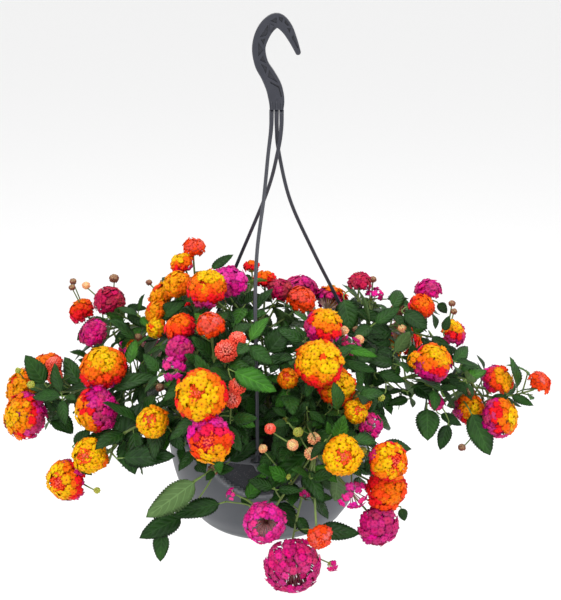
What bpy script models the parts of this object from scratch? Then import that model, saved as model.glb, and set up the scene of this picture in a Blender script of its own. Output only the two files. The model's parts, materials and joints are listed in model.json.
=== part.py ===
"""Lantana hanging basket: bowl pot, soil, moulded hanger, leafy stems and flower heads.

Metres, +Z up, the pot's base centre at the origin. The plant is laid out in millimetres.
"""
import math
import random

import bmesh
import bpy
from mathutils import Matrix, Vector

MM = 0.001

# Pot (a 10 inch hanging bowl)
RIM_RADIUS = 127.0
POT_HEIGHT = 132.0
LIP_HEIGHT = 11.0
WALL = 2.6
POT_SIDES = 32
# outer wall from the base disc to under the lip: (height, radius)
WALL_PROFILE = ((0.0, 66.0), (4.0, 78.0), (14.0, 90.0), (36.0, 103.5), (74.0, 115.5), (120.0, 122.5))
BAY_RADIUS = 72.0
BAY_CENTRE_Z = 150.0
BAY_DEPTH = 1.2
BAY_LIP = 2.4
BAY_LIP_WIDTH = 4.0
LUG_AZIMUTHS = {"front": -5.0, "right": 115.0, "left": 235.0}
LUG_RADIUS = 133.5
LUG_WIDTH = 16.0
LUG_THICK = 3.2
LUG_HOLE = 2.7

# Soil
SOIL_TOP = 113.0
SOIL_GAP = 0.3
HOLE_GAP = 0.3

# Hanger
HOOK_DEPTH = 8.0
HOOK_WEB = 2.4
HOOK_RIM = 2.2
STRAND_RADIUS = 1.9
STRAND_SIDES = 5
# centre line of the hook from its tip to the neck: (x, z, half width)
HOOK_LINE = (
    (33.6, 564.0, 3.0), (28.2, 577.0, 4.6), (20.6, 591.0, 6.6), (11.0, 599.0, 7.8), (1.6, 594.5, 8.2),
    (-6.0, 583.5, 8.2), (-10.1, 568.6, 7.5), (-7.2, 551.5, 7.6), (0.2, 538.5, 8.2), (6.6, 525.0, 9.0),
    (9.6, 511.0, 8.8), (9.6, 500.0, 7.6),
)
STRAND_ROUTES = {
    "front": ((4.0, 0, 500), (3.4, -0.5, 478), (0, -8, 450), (-5, -26, 402), (-12, -55, 352), (-14, -85, 302),
              (-13, -107, 240), (-12, -123, 185), (-11.6, -133, 142)),
    "right": ((9.6, 0, 500), (9.8, 2, 478), (11.8, 5, 452), (25, 12, 393), (52, 28, 328), (83, 42, 262),
              (103, 52, 215), (117, 57, 170), (121, 56.4, 142)),
    "left": ((15.2, 0, 500), (14.8, -2, 478), (10.8, -3, 452), (-2, 12, 401), (-38, 38, 308), (-66, 56, 233),
             (-90, 68, 180), (-109.4, 76.6, 142)),
}

# Colours (linear)
COLOURS = {
    "pot_plastic": ((0.085, 0.088, 0.095), 0.42),
    "hanger_plastic": ((0.030, 0.032, 0.042), 0.40),
    "soil": ((0.030, 0.018, 0.010), 0.95),
    "leaf": ((0.030, 0.110, 0.022), 0.55),
    "magenta": ((0.650, 0.004, 0.200), 0.60),
    "crimson": ((0.420, 0.004, 0.060), 0.60),
    "orange": ((0.900, 0.150, 0.004), 0.60),
    "yellow": ((0.900, 0.480, 0.004), 0.60),
    "coral": ((0.800, 0.100, 0.080), 0.60),
    "tan": ((0.300, 0.160, 0.080), 0.80),
}

# Flower heads: node name, its stem, its colour, then each head's centre, radius and facing
HEADS = (
    ("head_left_top", "stem_left_high", "magenta", (
        ((-192, 40, 263), 19, (-2, -3, 8)),
    )),
    ("head_left_far", "stem_left_high", "orange", (
        ((-229, 60, 243), 16, (-5, -3, 6)),
    )),
    ("head_left_behind", "stem_left_high", "magenta", (
        ((-206, -8, 238), 17, (-4, -4, 7)),
    )),
    ("heads_left_pair", "stem_left", "yellow", (
        ((-189, -60, 213), 25, (-2, -7, 7)), ((-195, -88, 173), 25, (-3, -9, 3)),
    )),
    ("heads_left_end", "stem_left", "orange", (
        ((-288, -25, 140), 25, (-5, -8, 4)), ((-297, 18, 160), 23, (-8, -3, 5)),
        ((-268, 24, 184), 19, (-3, -3, 8)),
    )),
    ("buds_left", "stem_left", "coral", (
        ((-254, -8, 200), 9, (-1, -3, 8)), ((-252, -17, 186), 9, (-2, -8, 4)),
    )),
    ("heads_left_low", "stem_left_low", "yellow", (
        ((-200, -122, 131), 20, (-3, -8, 3)), ((-229, -116, 98), 23, (-5, -8, 2)),
    )),
    ("head_left_front", "stem_left_low", "yellow", (
        ((-126, -150, 184), 17, (-2, -8, 5)),
    )),
    ("heads_front_left", "stem_front_left", "yellow", (
        ((-70, -182, 227), 25, (-2, -8, 5)), ((-61, -196, 182), 24, (-1, -9, 2)),
    )),
    ("buds_front_left", "stem_front_left", "coral", (
        ((-32, -160, 230), 9, (1, -4, 8)), ((-38, -163, 215), 9, (0, -8, 4)),
    )),
    ("head_centre_left", "stem_front_left", "coral", (
        ((-63, -106, 281), 15, (0, -4, 9)),
    )),
    ("buds_centre", "stem_front_left", "coral", (
        ((-33, -121, 270), 9, (0, -3, 8)), ((-45, -130, 259), 12, (-1, -7, 6)),
    )),
    ("heads_column", "stem_front_left", "magenta", (
        ((-98, -88, 272), 17, (-3, -3, 8)), ((-97, -112, 253), 15, (-2, -7, 5)),
        ((-103, -131, 237), 14, (-3, -8, 3)),
    )),
    ("heads_top_left", "stem_top_left", "orange", (
        ((-87, 20, 334), 13, (1, -3, 8)), ((-101, 10, 318), 14, (-3, -3, 8)),
        ((-106, -12, 299), 16, (-4, -6, 6)),
    )),
    ("heads_left_of_top", "stem_top_left", "orange", (
        ((-126, 24, 275), 17, (-6, -2, 7)), ((-133, 2, 260), 14, (-7, -4, 5)),
        ((-131, -18, 247), 12, (-7, -6, 3)),
    )),
    ("heads_top", "stem_top", "magenta", (
        ((-69, -58, 308), 20, (-2, -6, 7)), ((-46, -24, 305), 19, (0, -2, 9)),
    )),
    ("heads_behind_top", "stem_top", "crimson", (
        ((-21, 44, 304), 9, (-1, 1, 9)), ((-6, 40, 289), 13, (-1, -1, 9)),
        ((14, 28, 280), 15, (1, -4, 8)), ((39, 12, 273), 17, (3, -3, 8)),
    )),
    ("head_centre_right", "stem_front_right", "orange", (
        ((62, -80, 271), 21, (1, -5, 8)),
    )),
    ("heads_front_right", "stem_front_right", "yellow", (
        ((56, -131, 245), 24, (0, -8, 6)), ((77, -112, 210), 21, (3, -8, 4)),
    )),
    ("head_right_inner", "stem_front_right", "magenta", (
        ((94, -56, 238), 14, (5, -2, 8)),
    )),
    ("head_centre_small", "stem_front_right", "orange", (
        ((22, -112, 220), 11, (-1, -7, 6)),
    )),
    ("heads_top_right", "stem_right_high", "crimson", (
        ((110, 56, 281), 14, (1, -1, 9)), ((128, 60, 264), 12, (4, -2, 8)),
    )),
    ("heads_right_high", "stem_right_high", "crimson", (
        ((192, 50, 273), 16, (0, -1, 9)), ((182, 26, 260), 15, (3, -6, 6)),
    )),
    ("head_right_above", "stem_right_high", "orange", (
        ((220, 12, 231), 16, (7, -3, 6)),
    )),
    ("head_right_middle", "stem_right", "orange", (
        ((190, -44, 214), 21, (2, -7, 7)),
    )),
    ("head_right_small", "stem_right", "magenta", (
        ((196, -46, 165), 9, (3, -8, 3)),
    )),
    ("heads_right_low", "stem_right", "orange", (
        ((240, -6, 141), 18, (2, -8, 4)), ((274, -24, 137), 23, (5, -8, 3)),
    )),
    ("head_right_out", "stem_right", "orange", (
        ((275, 12, 172), 19, (3, -3, 8)),
    )),
    ("head_right_end", "stem_right", "coral", (
        ((326, 12, 169), 14, (5, -2, 8)),
    )),
    ("heads_rim_right", "stem_front_right", "magenta", (
        ((97, -134, 189), 13, (4, -8, 5)), ((113, -127, 169), 16, (5, -6, 6)),
    )),
    ("head_front_low", "stem_low_front", "yellow", (
        ((80, -195, 163), 21, (1, -9, 3)),
    )),
    ("heads_low_right", "stem_low_front", "orange", (
        ((131, -182, 151), 21, (4, -8, 3)), ((130, -168, 111), 23, (4, -8, 1)),
        ((92, -176, 110), 17, (1, -9, 1)), ((122, -174, 70), 22, (3, -9, -1)),
    )),
    ("head_low_centre", "stem_low_front", "magenta", (
        ((-3, -200, 87), 21, (-1, -9, 2)),
    )),
    ("head_lowest", "stem_low_front", "magenta", (
        ((27, -206, 38), 26, (1, -9, -2)),
    )),
    ("head_low_small", "stem_low_front", "coral", (
        ((56, -216, 78), 13, (2, -9, 0)),
    )),
    ("buds_rim", "stem_low_front", "coral", (
        ((33, -160, 176), 8, (-1, -6, 7)), ((27, -168, 164), 8, (-2, -8, 4)),
    )),
    ("bud_low_left", "stem_left_low", "tan", (
        ((-60, -152, 128), 6, (-3, -8, 3)),
    )),
    ("heads_back_left", "stem_back_left", "yellow", (
        ((-60, 152, 238), 22, (-2, 6, 8)), ((-98, 148, 222), 22, (-5, 6, 6)),
    )),
    ("heads_back_low_left", "stem_back_left", "magenta", (
        ((-176, 140, 170), 22, (-8, 5, 4)), ((-152, 160, 153), 20, (-5, 8, 3)),
    )),
    ("heads_back_low", "stem_back_left", "orange", (
        ((-60, 203, 130), 23, (-2, 9, 2)), ((-30, 200, 99), 22, (0, 9, 0)),
    )),
    ("heads_back_right", "stem_back_right", "magenta", (
        ((40, 158, 240), 23, (1, 5, 8)), ((80, 152, 228), 22, (4, 6, 7)),
    )),
    ("heads_back_low_right", "stem_back_right", "orange", (
        ((173, 122, 190), 23, (8, 5, 5)), ((152, 146, 168), 22, (6, 8, 3)),
    )),
)

# Main stems: name, root on the soil, way points and the tip
STEMS = (
    ("stem_left_high", (-36, 14), ((-84, 20, 205), (-150, 36, 232), (-200, 46, 222))),
    ("stem_left", (-52, -8), ((-118, -28, 178), (-200, -24, 174), (-256, -4, 160))),
    ("stem_left_low", (-46, -34), ((-104, -84, 162), (-162, -108, 152), (-182, -100, 112))),
    ("stem_top_left", (-30, 34), ((-56, 26, 200), (-96, 14, 262))),
    ("stem_front_left", (-24, -36), ((-50, -80, 182), (-62, -120, 226))),
    ("stem_top", (0, 6), ((-4, 0, 190), (-12, 0, 258))),
    ("stem_front_right", (26, -26), ((42, -60, 180), (50, -90, 222))),
    ("stem_right_high", (40, 14), ((80, 18, 188), (130, 34, 224), (168, 40, 236))),
    ("stem_right", (52, -12), ((112, -22, 172), (180, -14, 186), (238, -4, 178))),
    ("stem_low_front", (12, -54), ((42, -112, 166), (50, -158, 150), (46, -168, 118))),
    ("stem_back_left", (-20, 56), ((-56, 108, 190), (-112, 162, 186))),
    ("stem_back_right", (26, 48), ((70, 108, 186), (130, 160, 190))),
)
STEM_RADIUS = 2.3
STALK_RADIUS = 1.25
# bends tried for a flower stalk: upward and sideways, as shares of its reach
STALK_BENDS = ((0, 0), (0.2, 0), (-0.2, 0), (0, 0.25), (0, -0.25), (0.3, 0.25), (0.3, -0.25),
               (-0.35, 0), (0.45, 0), (-0.3, 0.3), (-0.3, -0.3), (0, 0.5), (0, -0.5))
HEAD_CORE = 0.64
SEAT_GAP = 0.4
LEAF_SPACING = 112.0
LEAF_THICK = 0.9
LEAF_TEETH = 2


def new_material(name):
    """Principled material for one named colour."""
    colour, roughness = COLOURS[name]
    material = bpy.data.materials.new(name)
    material.use_nodes = True
    shader = material.node_tree.nodes["Principled BSDF"]
    shader.inputs["Base Color"].default_value = (*colour, 1.0)
    shader.inputs["Roughness"].default_value = roughness
    return material


def make_object(name, points, faces, material=None, triangles=False):
    """Object from points in millimetres, with its faces turned outward."""
    mesh = bpy.data.meshes.new(name)
    mesh.from_pydata([Vector(p) * MM for p in points], [], faces)
    bm = bmesh.new()
    bm.from_mesh(mesh)
    bmesh.ops.recalc_face_normals(bm, faces=bm.faces)
    if bm.calc_volume(signed=True) < 0.0:
        bmesh.ops.reverse_faces(bm, faces=bm.faces)
    if triangles:
        bmesh.ops.triangulate(bm, faces=bm.faces)
    bm.to_mesh(mesh)
    bm.free()
    obj = bpy.data.objects.new(name, mesh)
    bpy.context.scene.collection.objects.link(obj)
    if material:
        mesh.materials.append(material)
    return obj


def apply_modifiers(obj):
    """Bake the object's modifiers into its mesh."""
    graph = bpy.context.evaluated_depsgraph_get()
    mesh = bpy.data.meshes.new_from_object(obj.evaluated_get(graph))
    obj.modifiers.clear()
    obj.data = mesh


def combine(obj, others, operation, solver="EXACT"):
    """One Boolean of a whole collection of objects on obj; the others are then removed."""
    if not others:
        return obj
    group = bpy.data.collections.new(obj.name + "_tools")
    bpy.context.scene.collection.children.link(group)
    for other in others:
        bpy.context.scene.collection.objects.unlink(other)
        group.objects.link(other)
    modifier = obj.modifiers.new("combine", "BOOLEAN")
    modifier.operation = operation
    modifier.operand_type = "COLLECTION"
    modifier.collection = group
    modifier.solver = solver
    apply_modifiers(obj)
    for other in others:
        bpy.data.objects.remove(other)
    bpy.data.collections.remove(group)
    return obj


def drop_scraps(bm):
    """Keep only the largest connected shell."""
    shells = []
    seen = set()
    for start in bm.verts:
        if start in seen:
            continue
        shell = [start]
        seen.add(start)
        for vert in shell:
            for edge in vert.link_edges:
                other = edge.other_vert(vert)
                if other not in seen:
                    seen.add(other)
                    shell.append(other)
        shells.append(shell)
    shells.sort(key=len)
    for shell in shells[:-1]:
        bmesh.ops.delete(bm, geom=shell, context="VERTS")


def weld_slivers(bm):
    """Copy with its nearly touching points welded, as widely as leaves the solid closed."""
    for distance in (1.2e-4, 9e-5, 6e-5, 4e-5, 2.5e-5, 1.5e-5, 8e-6, 3e-6):
        trial = bm.copy()
        bmesh.ops.remove_doubles(trial, verts=trial.verts, dist=distance)
        bmesh.ops.dissolve_degenerate(trial, edges=trial.edges, dist=distance)
        bmesh.ops.triangulate(trial, faces=trial.faces)
        if all(edge.is_manifold for edge in trial.edges):
            bm.free()
            return trial
        trial.free()
    return bm


def finish(obj, material, crease=40.0):
    """Weld slivers, give the one material and shade smooth over edges flatter than the crease."""
    bm = bmesh.new()
    bm.from_mesh(obj.data)
    bmesh.ops.triangulate(bm, faces=bm.faces)
    drop_scraps(bm)
    bm = weld_slivers(bm)
    for face in bm.faces:
        face.smooth = True
    for edge in bm.edges:
        edge.smooth = edge.calc_face_angle(math.pi) < math.radians(crease)
    bm.to_mesh(obj.data)
    bm.free()
    obj.data.materials.clear()
    obj.data.materials.append(material)
    return obj


def lathe(name, profile, sides):
    """Closed solid of revolution from (height, radius) points that start and end on the axis."""
    points = [(0.0, 0.0, profile[0][0])]
    for height, radius in profile[1:-1]:
        for k in range(sides):
            angle = 2.0 * math.pi * k / sides
            points.append((radius * math.sin(angle), -radius * math.cos(angle), height))
    points.append((0.0, 0.0, profile[-1][0]))
    rings = len(profile) - 2
    last = len(points) - 1
    faces = [(0, 1 + (k + 1) % sides, 1 + k) for k in range(sides)]
    for ring in range(rings - 1):
        low = 1 + ring * sides
        for k in range(sides):
            nxt = (k + 1) % sides
            faces.append((low + k, low + nxt, low + sides + nxt, low + sides + k))
    top = 1 + (rings - 1) * sides
    faces += [(top + k, top + (k + 1) % sides, last) for k in range(sides)]
    return make_object(name, points, faces)


def tube(name, path, radii, sides):
    """Closed round tube along a path; radii is one value or one for each path point."""
    if not isinstance(radii, (list, tuple)):
        radii = [radii] * len(path)
    points = []
    side = None
    for i, here in enumerate(path):
        before, after = path[max(i - 1, 0)], path[min(i + 1, len(path) - 1)]
        along = (after - before).normalized()
        if side is None:
            side = along.orthogonal().normalized()
        side = (side - along * side.dot(along)).normalized()
        up = along.cross(side)
        for k in range(sides):
            angle = 2.0 * math.pi * k / sides
            points.append(here + (side * math.cos(angle) + up * math.sin(angle)) * radii[i])
    faces = [tuple(range(sides))[::-1]]
    for i in range(len(path) - 1):
        for k in range(sides):
            nxt = (k + 1) % sides
            faces.append((i * sides + k, i * sides + nxt, (i + 1) * sides + nxt, (i + 1) * sides + k))
    faces.append(tuple((len(path) - 1) * sides + k for k in range(sides)))
    return make_object(name, points, faces, triangles=True)


def smooth_path(points, step):
    """Catmull-Rom curve through the points, with a point about every step millimetres."""
    points = [Vector(p) for p in points]
    padded = [points[0] * 2 - points[1]] + points + [points[-1] * 2 - points[-2]]
    path = []
    for a, b, c, d in zip(padded, padded[1:], padded[2:], padded[3:]):
        count = max(1, round((c - b).length / step))
        for k in range(count):
            t = k / count
            path.append(0.5 * (2 * b + (c - a) * t + (2 * a - 5 * b + 4 * c - d) * t * t
                               + (3 * b - a - 3 * c + d) * t ** 3))
    path.append(points[-1])
    return path


def along_path(path, step):
    """Points about every step millimetres along the straight pieces of a path."""
    points = []
    for a, b in zip(path, path[1:]):
        count = max(1, round((b - a).length / step))
        points += [a.lerp(b, k / count) for k in range(count)]
    return points + [path[-1]]


def around(azimuth, radius, height):
    """Point at a compass angle in degrees from the front, growing towards +X."""
    angle = math.radians(azimuth)
    return Vector((radius * math.sin(angle), -radius * math.cos(angle), height))


def wall_radius(height):
    """Outer radius of the pot's wall at a height."""
    for (z0, r0), (z1, r1) in zip(WALL_PROFILE, WALL_PROFILE[1:]):
        if height <= z1:
            return r0 + (r1 - r0) * max(0.0, height - z0) / (z1 - z0)
    return WALL_PROFILE[-1][1]


def wall_solid(name, offset, low, high):
    """Solid whose side is the pot's wall moved outward by offset, between two heights."""
    heights = [low] + [z for z, _ in WALL_PROFILE if low < z < high] + [high]
    profile = [(low, 0.0)] + [(z, wall_radius(z) + offset) for z in heights] + [(high, 0.0)]
    return lathe(name, profile, POT_SIDES)


def radial_cylinder(name, radius, azimuth, centre_z, near, far, sides=24):
    """Cylinder that points outward from the pot's axis at an azimuth."""
    out = around(azimuth, 1.0, 0.0)
    centre = Vector((0.0, 0.0, centre_z))
    path = [centre + out * near, centre + out * far]
    return tube(name, path, radius, sides)


def build_pot(material):
    """Bowl with a rolled lip, three lugs with holes, and a scalloped bay under each lug."""
    lip = RIM_RADIUS
    top = POT_HEIGHT
    inner = [(z, wall_radius(z) - WALL) for z in (120.0, 74.0, 36.0, 14.0)]
    profile = [(0.0, 0.0)] + list(WALL_PROFILE)
    profile += [(top - LIP_HEIGHT, lip - 1.6), (top - LIP_HEIGHT + 1.5, lip), (top - 1.5, lip),
                (top, lip - 1.6), (top, lip - 5.4), (top - 1.5, wall_radius(top) - WALL)]
    profile += inner + [(WALL, 70.0), (WALL, 0.0)]
    pot = lathe("pot", profile, POT_SIDES)

    cutters = []
    lips = []
    for azimuth in LUG_AZIMUTHS.values():
        ring = radial_cylinder("bay_ring", BAY_RADIUS, azimuth, BAY_CENTRE_Z, 60.0, 140.0)
        hollow = radial_cylinder("bay_hollow", BAY_RADIUS - BAY_LIP_WIDTH, azimuth, BAY_CENTRE_Z, 50.0, 150.0)
        combine(ring, [hollow, wall_solid("bay_inside", -1.0, 20.0, 140.0)], "DIFFERENCE")
        combine(ring, [wall_solid("bay_skin", BAY_LIP, 30.0, POT_HEIGHT - LIP_HEIGHT + 2.0)], "INTERSECT")
        lips.append(ring)
        bay = radial_cylinder("bay_cut", BAY_RADIUS - BAY_LIP_WIDTH, azimuth, BAY_CENTRE_Z, 60.0, 124.0)
        combine(bay, [wall_solid("bay_floor", -BAY_DEPTH, 20.0, 140.0)], "DIFFERENCE")
        combine(bay, [wall_solid("bay_top", 6.0, 30.0, POT_HEIGHT - LIP_HEIGHT - 1.0)], "INTERSECT")
        cutters.append(bay)
    combine(pot, cutters, "DIFFERENCE")

    lugs = []
    holes = []
    for azimuth in LUG_AZIMUTHS.values():
        out = around(azimuth, 1.0, 0.0)
        side = Vector((0.0, 0.0, 1.0)).cross(out)
        low = POT_HEIGHT - 6.0
        points = []
        half = LUG_WIDTH / 2.0
        outline = [(-half, 125.0), (-half, LUG_RADIUS + 2.0), (-4.5, LUG_RADIUS + 6.0),
                   (4.5, LUG_RADIUS + 6.0), (half, LUG_RADIUS + 2.0), (half, 125.0)]
        for height in (low, low + LUG_THICK):
            points += [side * a + out * b + Vector((0, 0, height)) for a, b in outline]
        count = len(outline)
        faces = [tuple(range(count)), tuple(range(count, 2 * count))]
        faces += [(k, (k + 1) % count, count + (k + 1) % count, count + k) for k in range(count)]
        lugs.append(make_object("lug", points, faces))
        ends = [out * LUG_RADIUS + Vector((0, 0, low + z)) for z in (-3.0, 8.0)]
        holes.append(tube("lug_hole", ends, LUG_HOLE, 8))
    combine(pot, lips + lugs, "UNION")
    combine(pot, holes, "DIFFERENCE")
    return finish(pot, material)


def build_soil(material, roots):
    """Soil that fills the pot, with a plain hole for each stem."""
    gap = WALL + SOIL_GAP
    profile = [(WALL + SOIL_GAP, 0.0), (WALL + SOIL_GAP, 69.0)]
    profile += [(z, wall_radius(z) - gap) for z in (16.0, 36.0, 74.0, SOIL_TOP - 3.0)]
    profile += [(SOIL_TOP + 1.0, 100.0), (SOIL_TOP + 1.5, 0.0)]
    soil = lathe("soil", profile, POT_SIDES // 2)
    holes = []
    for x, y in roots:
        path = [Vector((x, y, SOIL_TOP - 31.0)), Vector((x, y, SOIL_TOP + 8.0))]
        holes.append(tube("root_hole", path, STEM_RADIUS + HOLE_GAP + 0.6, 5))
    combine(soil, holes, "DIFFERENCE")
    return finish(soil, material)


def hook_frames():
    """Points of the hook's centre line with side vectors and half widths."""
    line = smooth_path([(x, w, z) for x, z, w in HOOK_LINE], 8.0)
    frames = []
    for i, here in enumerate(line):
        after, before = line[min(i + 1, len(line) - 1)], line[max(i - 1, 0)]
        along = Vector((after.x - before.x, 0.0, after.z - before.z)).normalized()
        side = Vector((along.z, 0.0, -along.x))
        frames.append((Vector((here.x, 0.0, here.z)), side, here.y, along))
    return frames


def slab(name, outline, depth, centre_y=0.0):
    """Flat plate of the given depth from an outline of points in the XZ plane."""
    count = len(outline)
    points = [Vector((p.x, centre_y - depth / 2, p.z)) for p in outline]
    points += [Vector((p.x, centre_y + depth / 2, p.z)) for p in outline]
    faces = [tuple(range(count)), tuple(range(count, 2 * count))]
    faces += [(k, (k + 1) % count, count + (k + 1) % count, count + k) for k in range(count)]
    return make_object(name, points, faces)


def build_hook(material):
    """Moulded hook: a rim round a thin web, with zigzag pockets in both faces."""
    frames = hook_frames()
    right = [p + s * w for p, s, w, _ in frames]
    left = [p - s * w for p, s, w, _ in frames]
    tip, _, half, along = frames[0]
    cap = [tip - along * half * 0.9 + frames[0][1] * half * a for a in (-0.55, 0.55)]
    hook = slab("hanger_hook", cap + right + left[::-1], HOOK_DEPTH)
    pockets = []
    pocket_depth = (HOOK_DEPTH - HOOK_WEB) / 2
    last = len(frames) - 5
    for i in range(1, last, 2):
        (p0, s0, w0, _), (p1, s1, w1, _), (p2, s2, w2, _) = frames[i:i + 3]
        turn = 1.0 if (i // 2) % 2 else -1.0
        inner0, inner1, inner2 = (max(w - HOOK_RIM, 0.8) for w in (w0, w1, w2))
        slack = 0.75
        base0 = p0.lerp(p1, 0.20) + s0 * inner0 * turn
        base1 = p2.lerp(p1, 0.20) + s2 * inner2 * turn
        point = p1 - s1 * inner1 * turn
        gap0 = p0.lerp(p1, 0.86) - s0 * inner0 * turn
        gap1 = p0.lerp(p1, 0.06) - s0 * inner0 * turn
        rest = p0.lerp(p1, 0.06) + s0 * inner0 * turn * (1.0 - slack)
        for sign in (-1.0, 1.0):
            y = sign * (HOOK_DEPTH / 2)
            pockets.append(slab("pocket", [base0, base1, point], 2 * pocket_depth, y))
            pockets.append(slab("pocket", [gap0, gap1, rest], 2 * pocket_depth, y))
    combine(hook, pockets, "DIFFERENCE")
    return finish(hook, material)


def build_strand(side, route, material):
    """Strand from under the neck to its lug, with a barbed clip through the lug's hole."""
    low = POT_HEIGHT - 6.0
    end = around(LUG_AZIMUTHS[side], LUG_RADIUS, 0.0)
    points = [Vector(p) for p in route[:-1]] + [end + Vector((0, 0, POT_HEIGHT + 10.0))]
    path = smooth_path(points, 34.0)
    path[0].z -= 0.3
    path += [end + Vector((0, 0, POT_HEIGHT + 2.0)), end + Vector((0, 0, low - 8.0))]
    radii = [STRAND_RADIUS * 1.25] + [STRAND_RADIUS] * (len(path) - 1)
    strand = tube("strand_" + side, path, radii, STRAND_SIDES)
    above = [end + Vector((0, 0, low + LUG_THICK + z)) for z in (0.2, 2.2, 6.0)]
    collar = tube("collar", above, [4.2, 4.2, 2.4], 6)
    below = [end + Vector((0, 0, low + z)) for z in (-0.2, -1.4, -9.0)]
    barb = tube("barb", below, [4.6, 4.6, 1.2], 6)
    combine(strand, [collar, barb], "UNION", "MANIFOLD")
    return finish(strand, material, 80.0)


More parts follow.
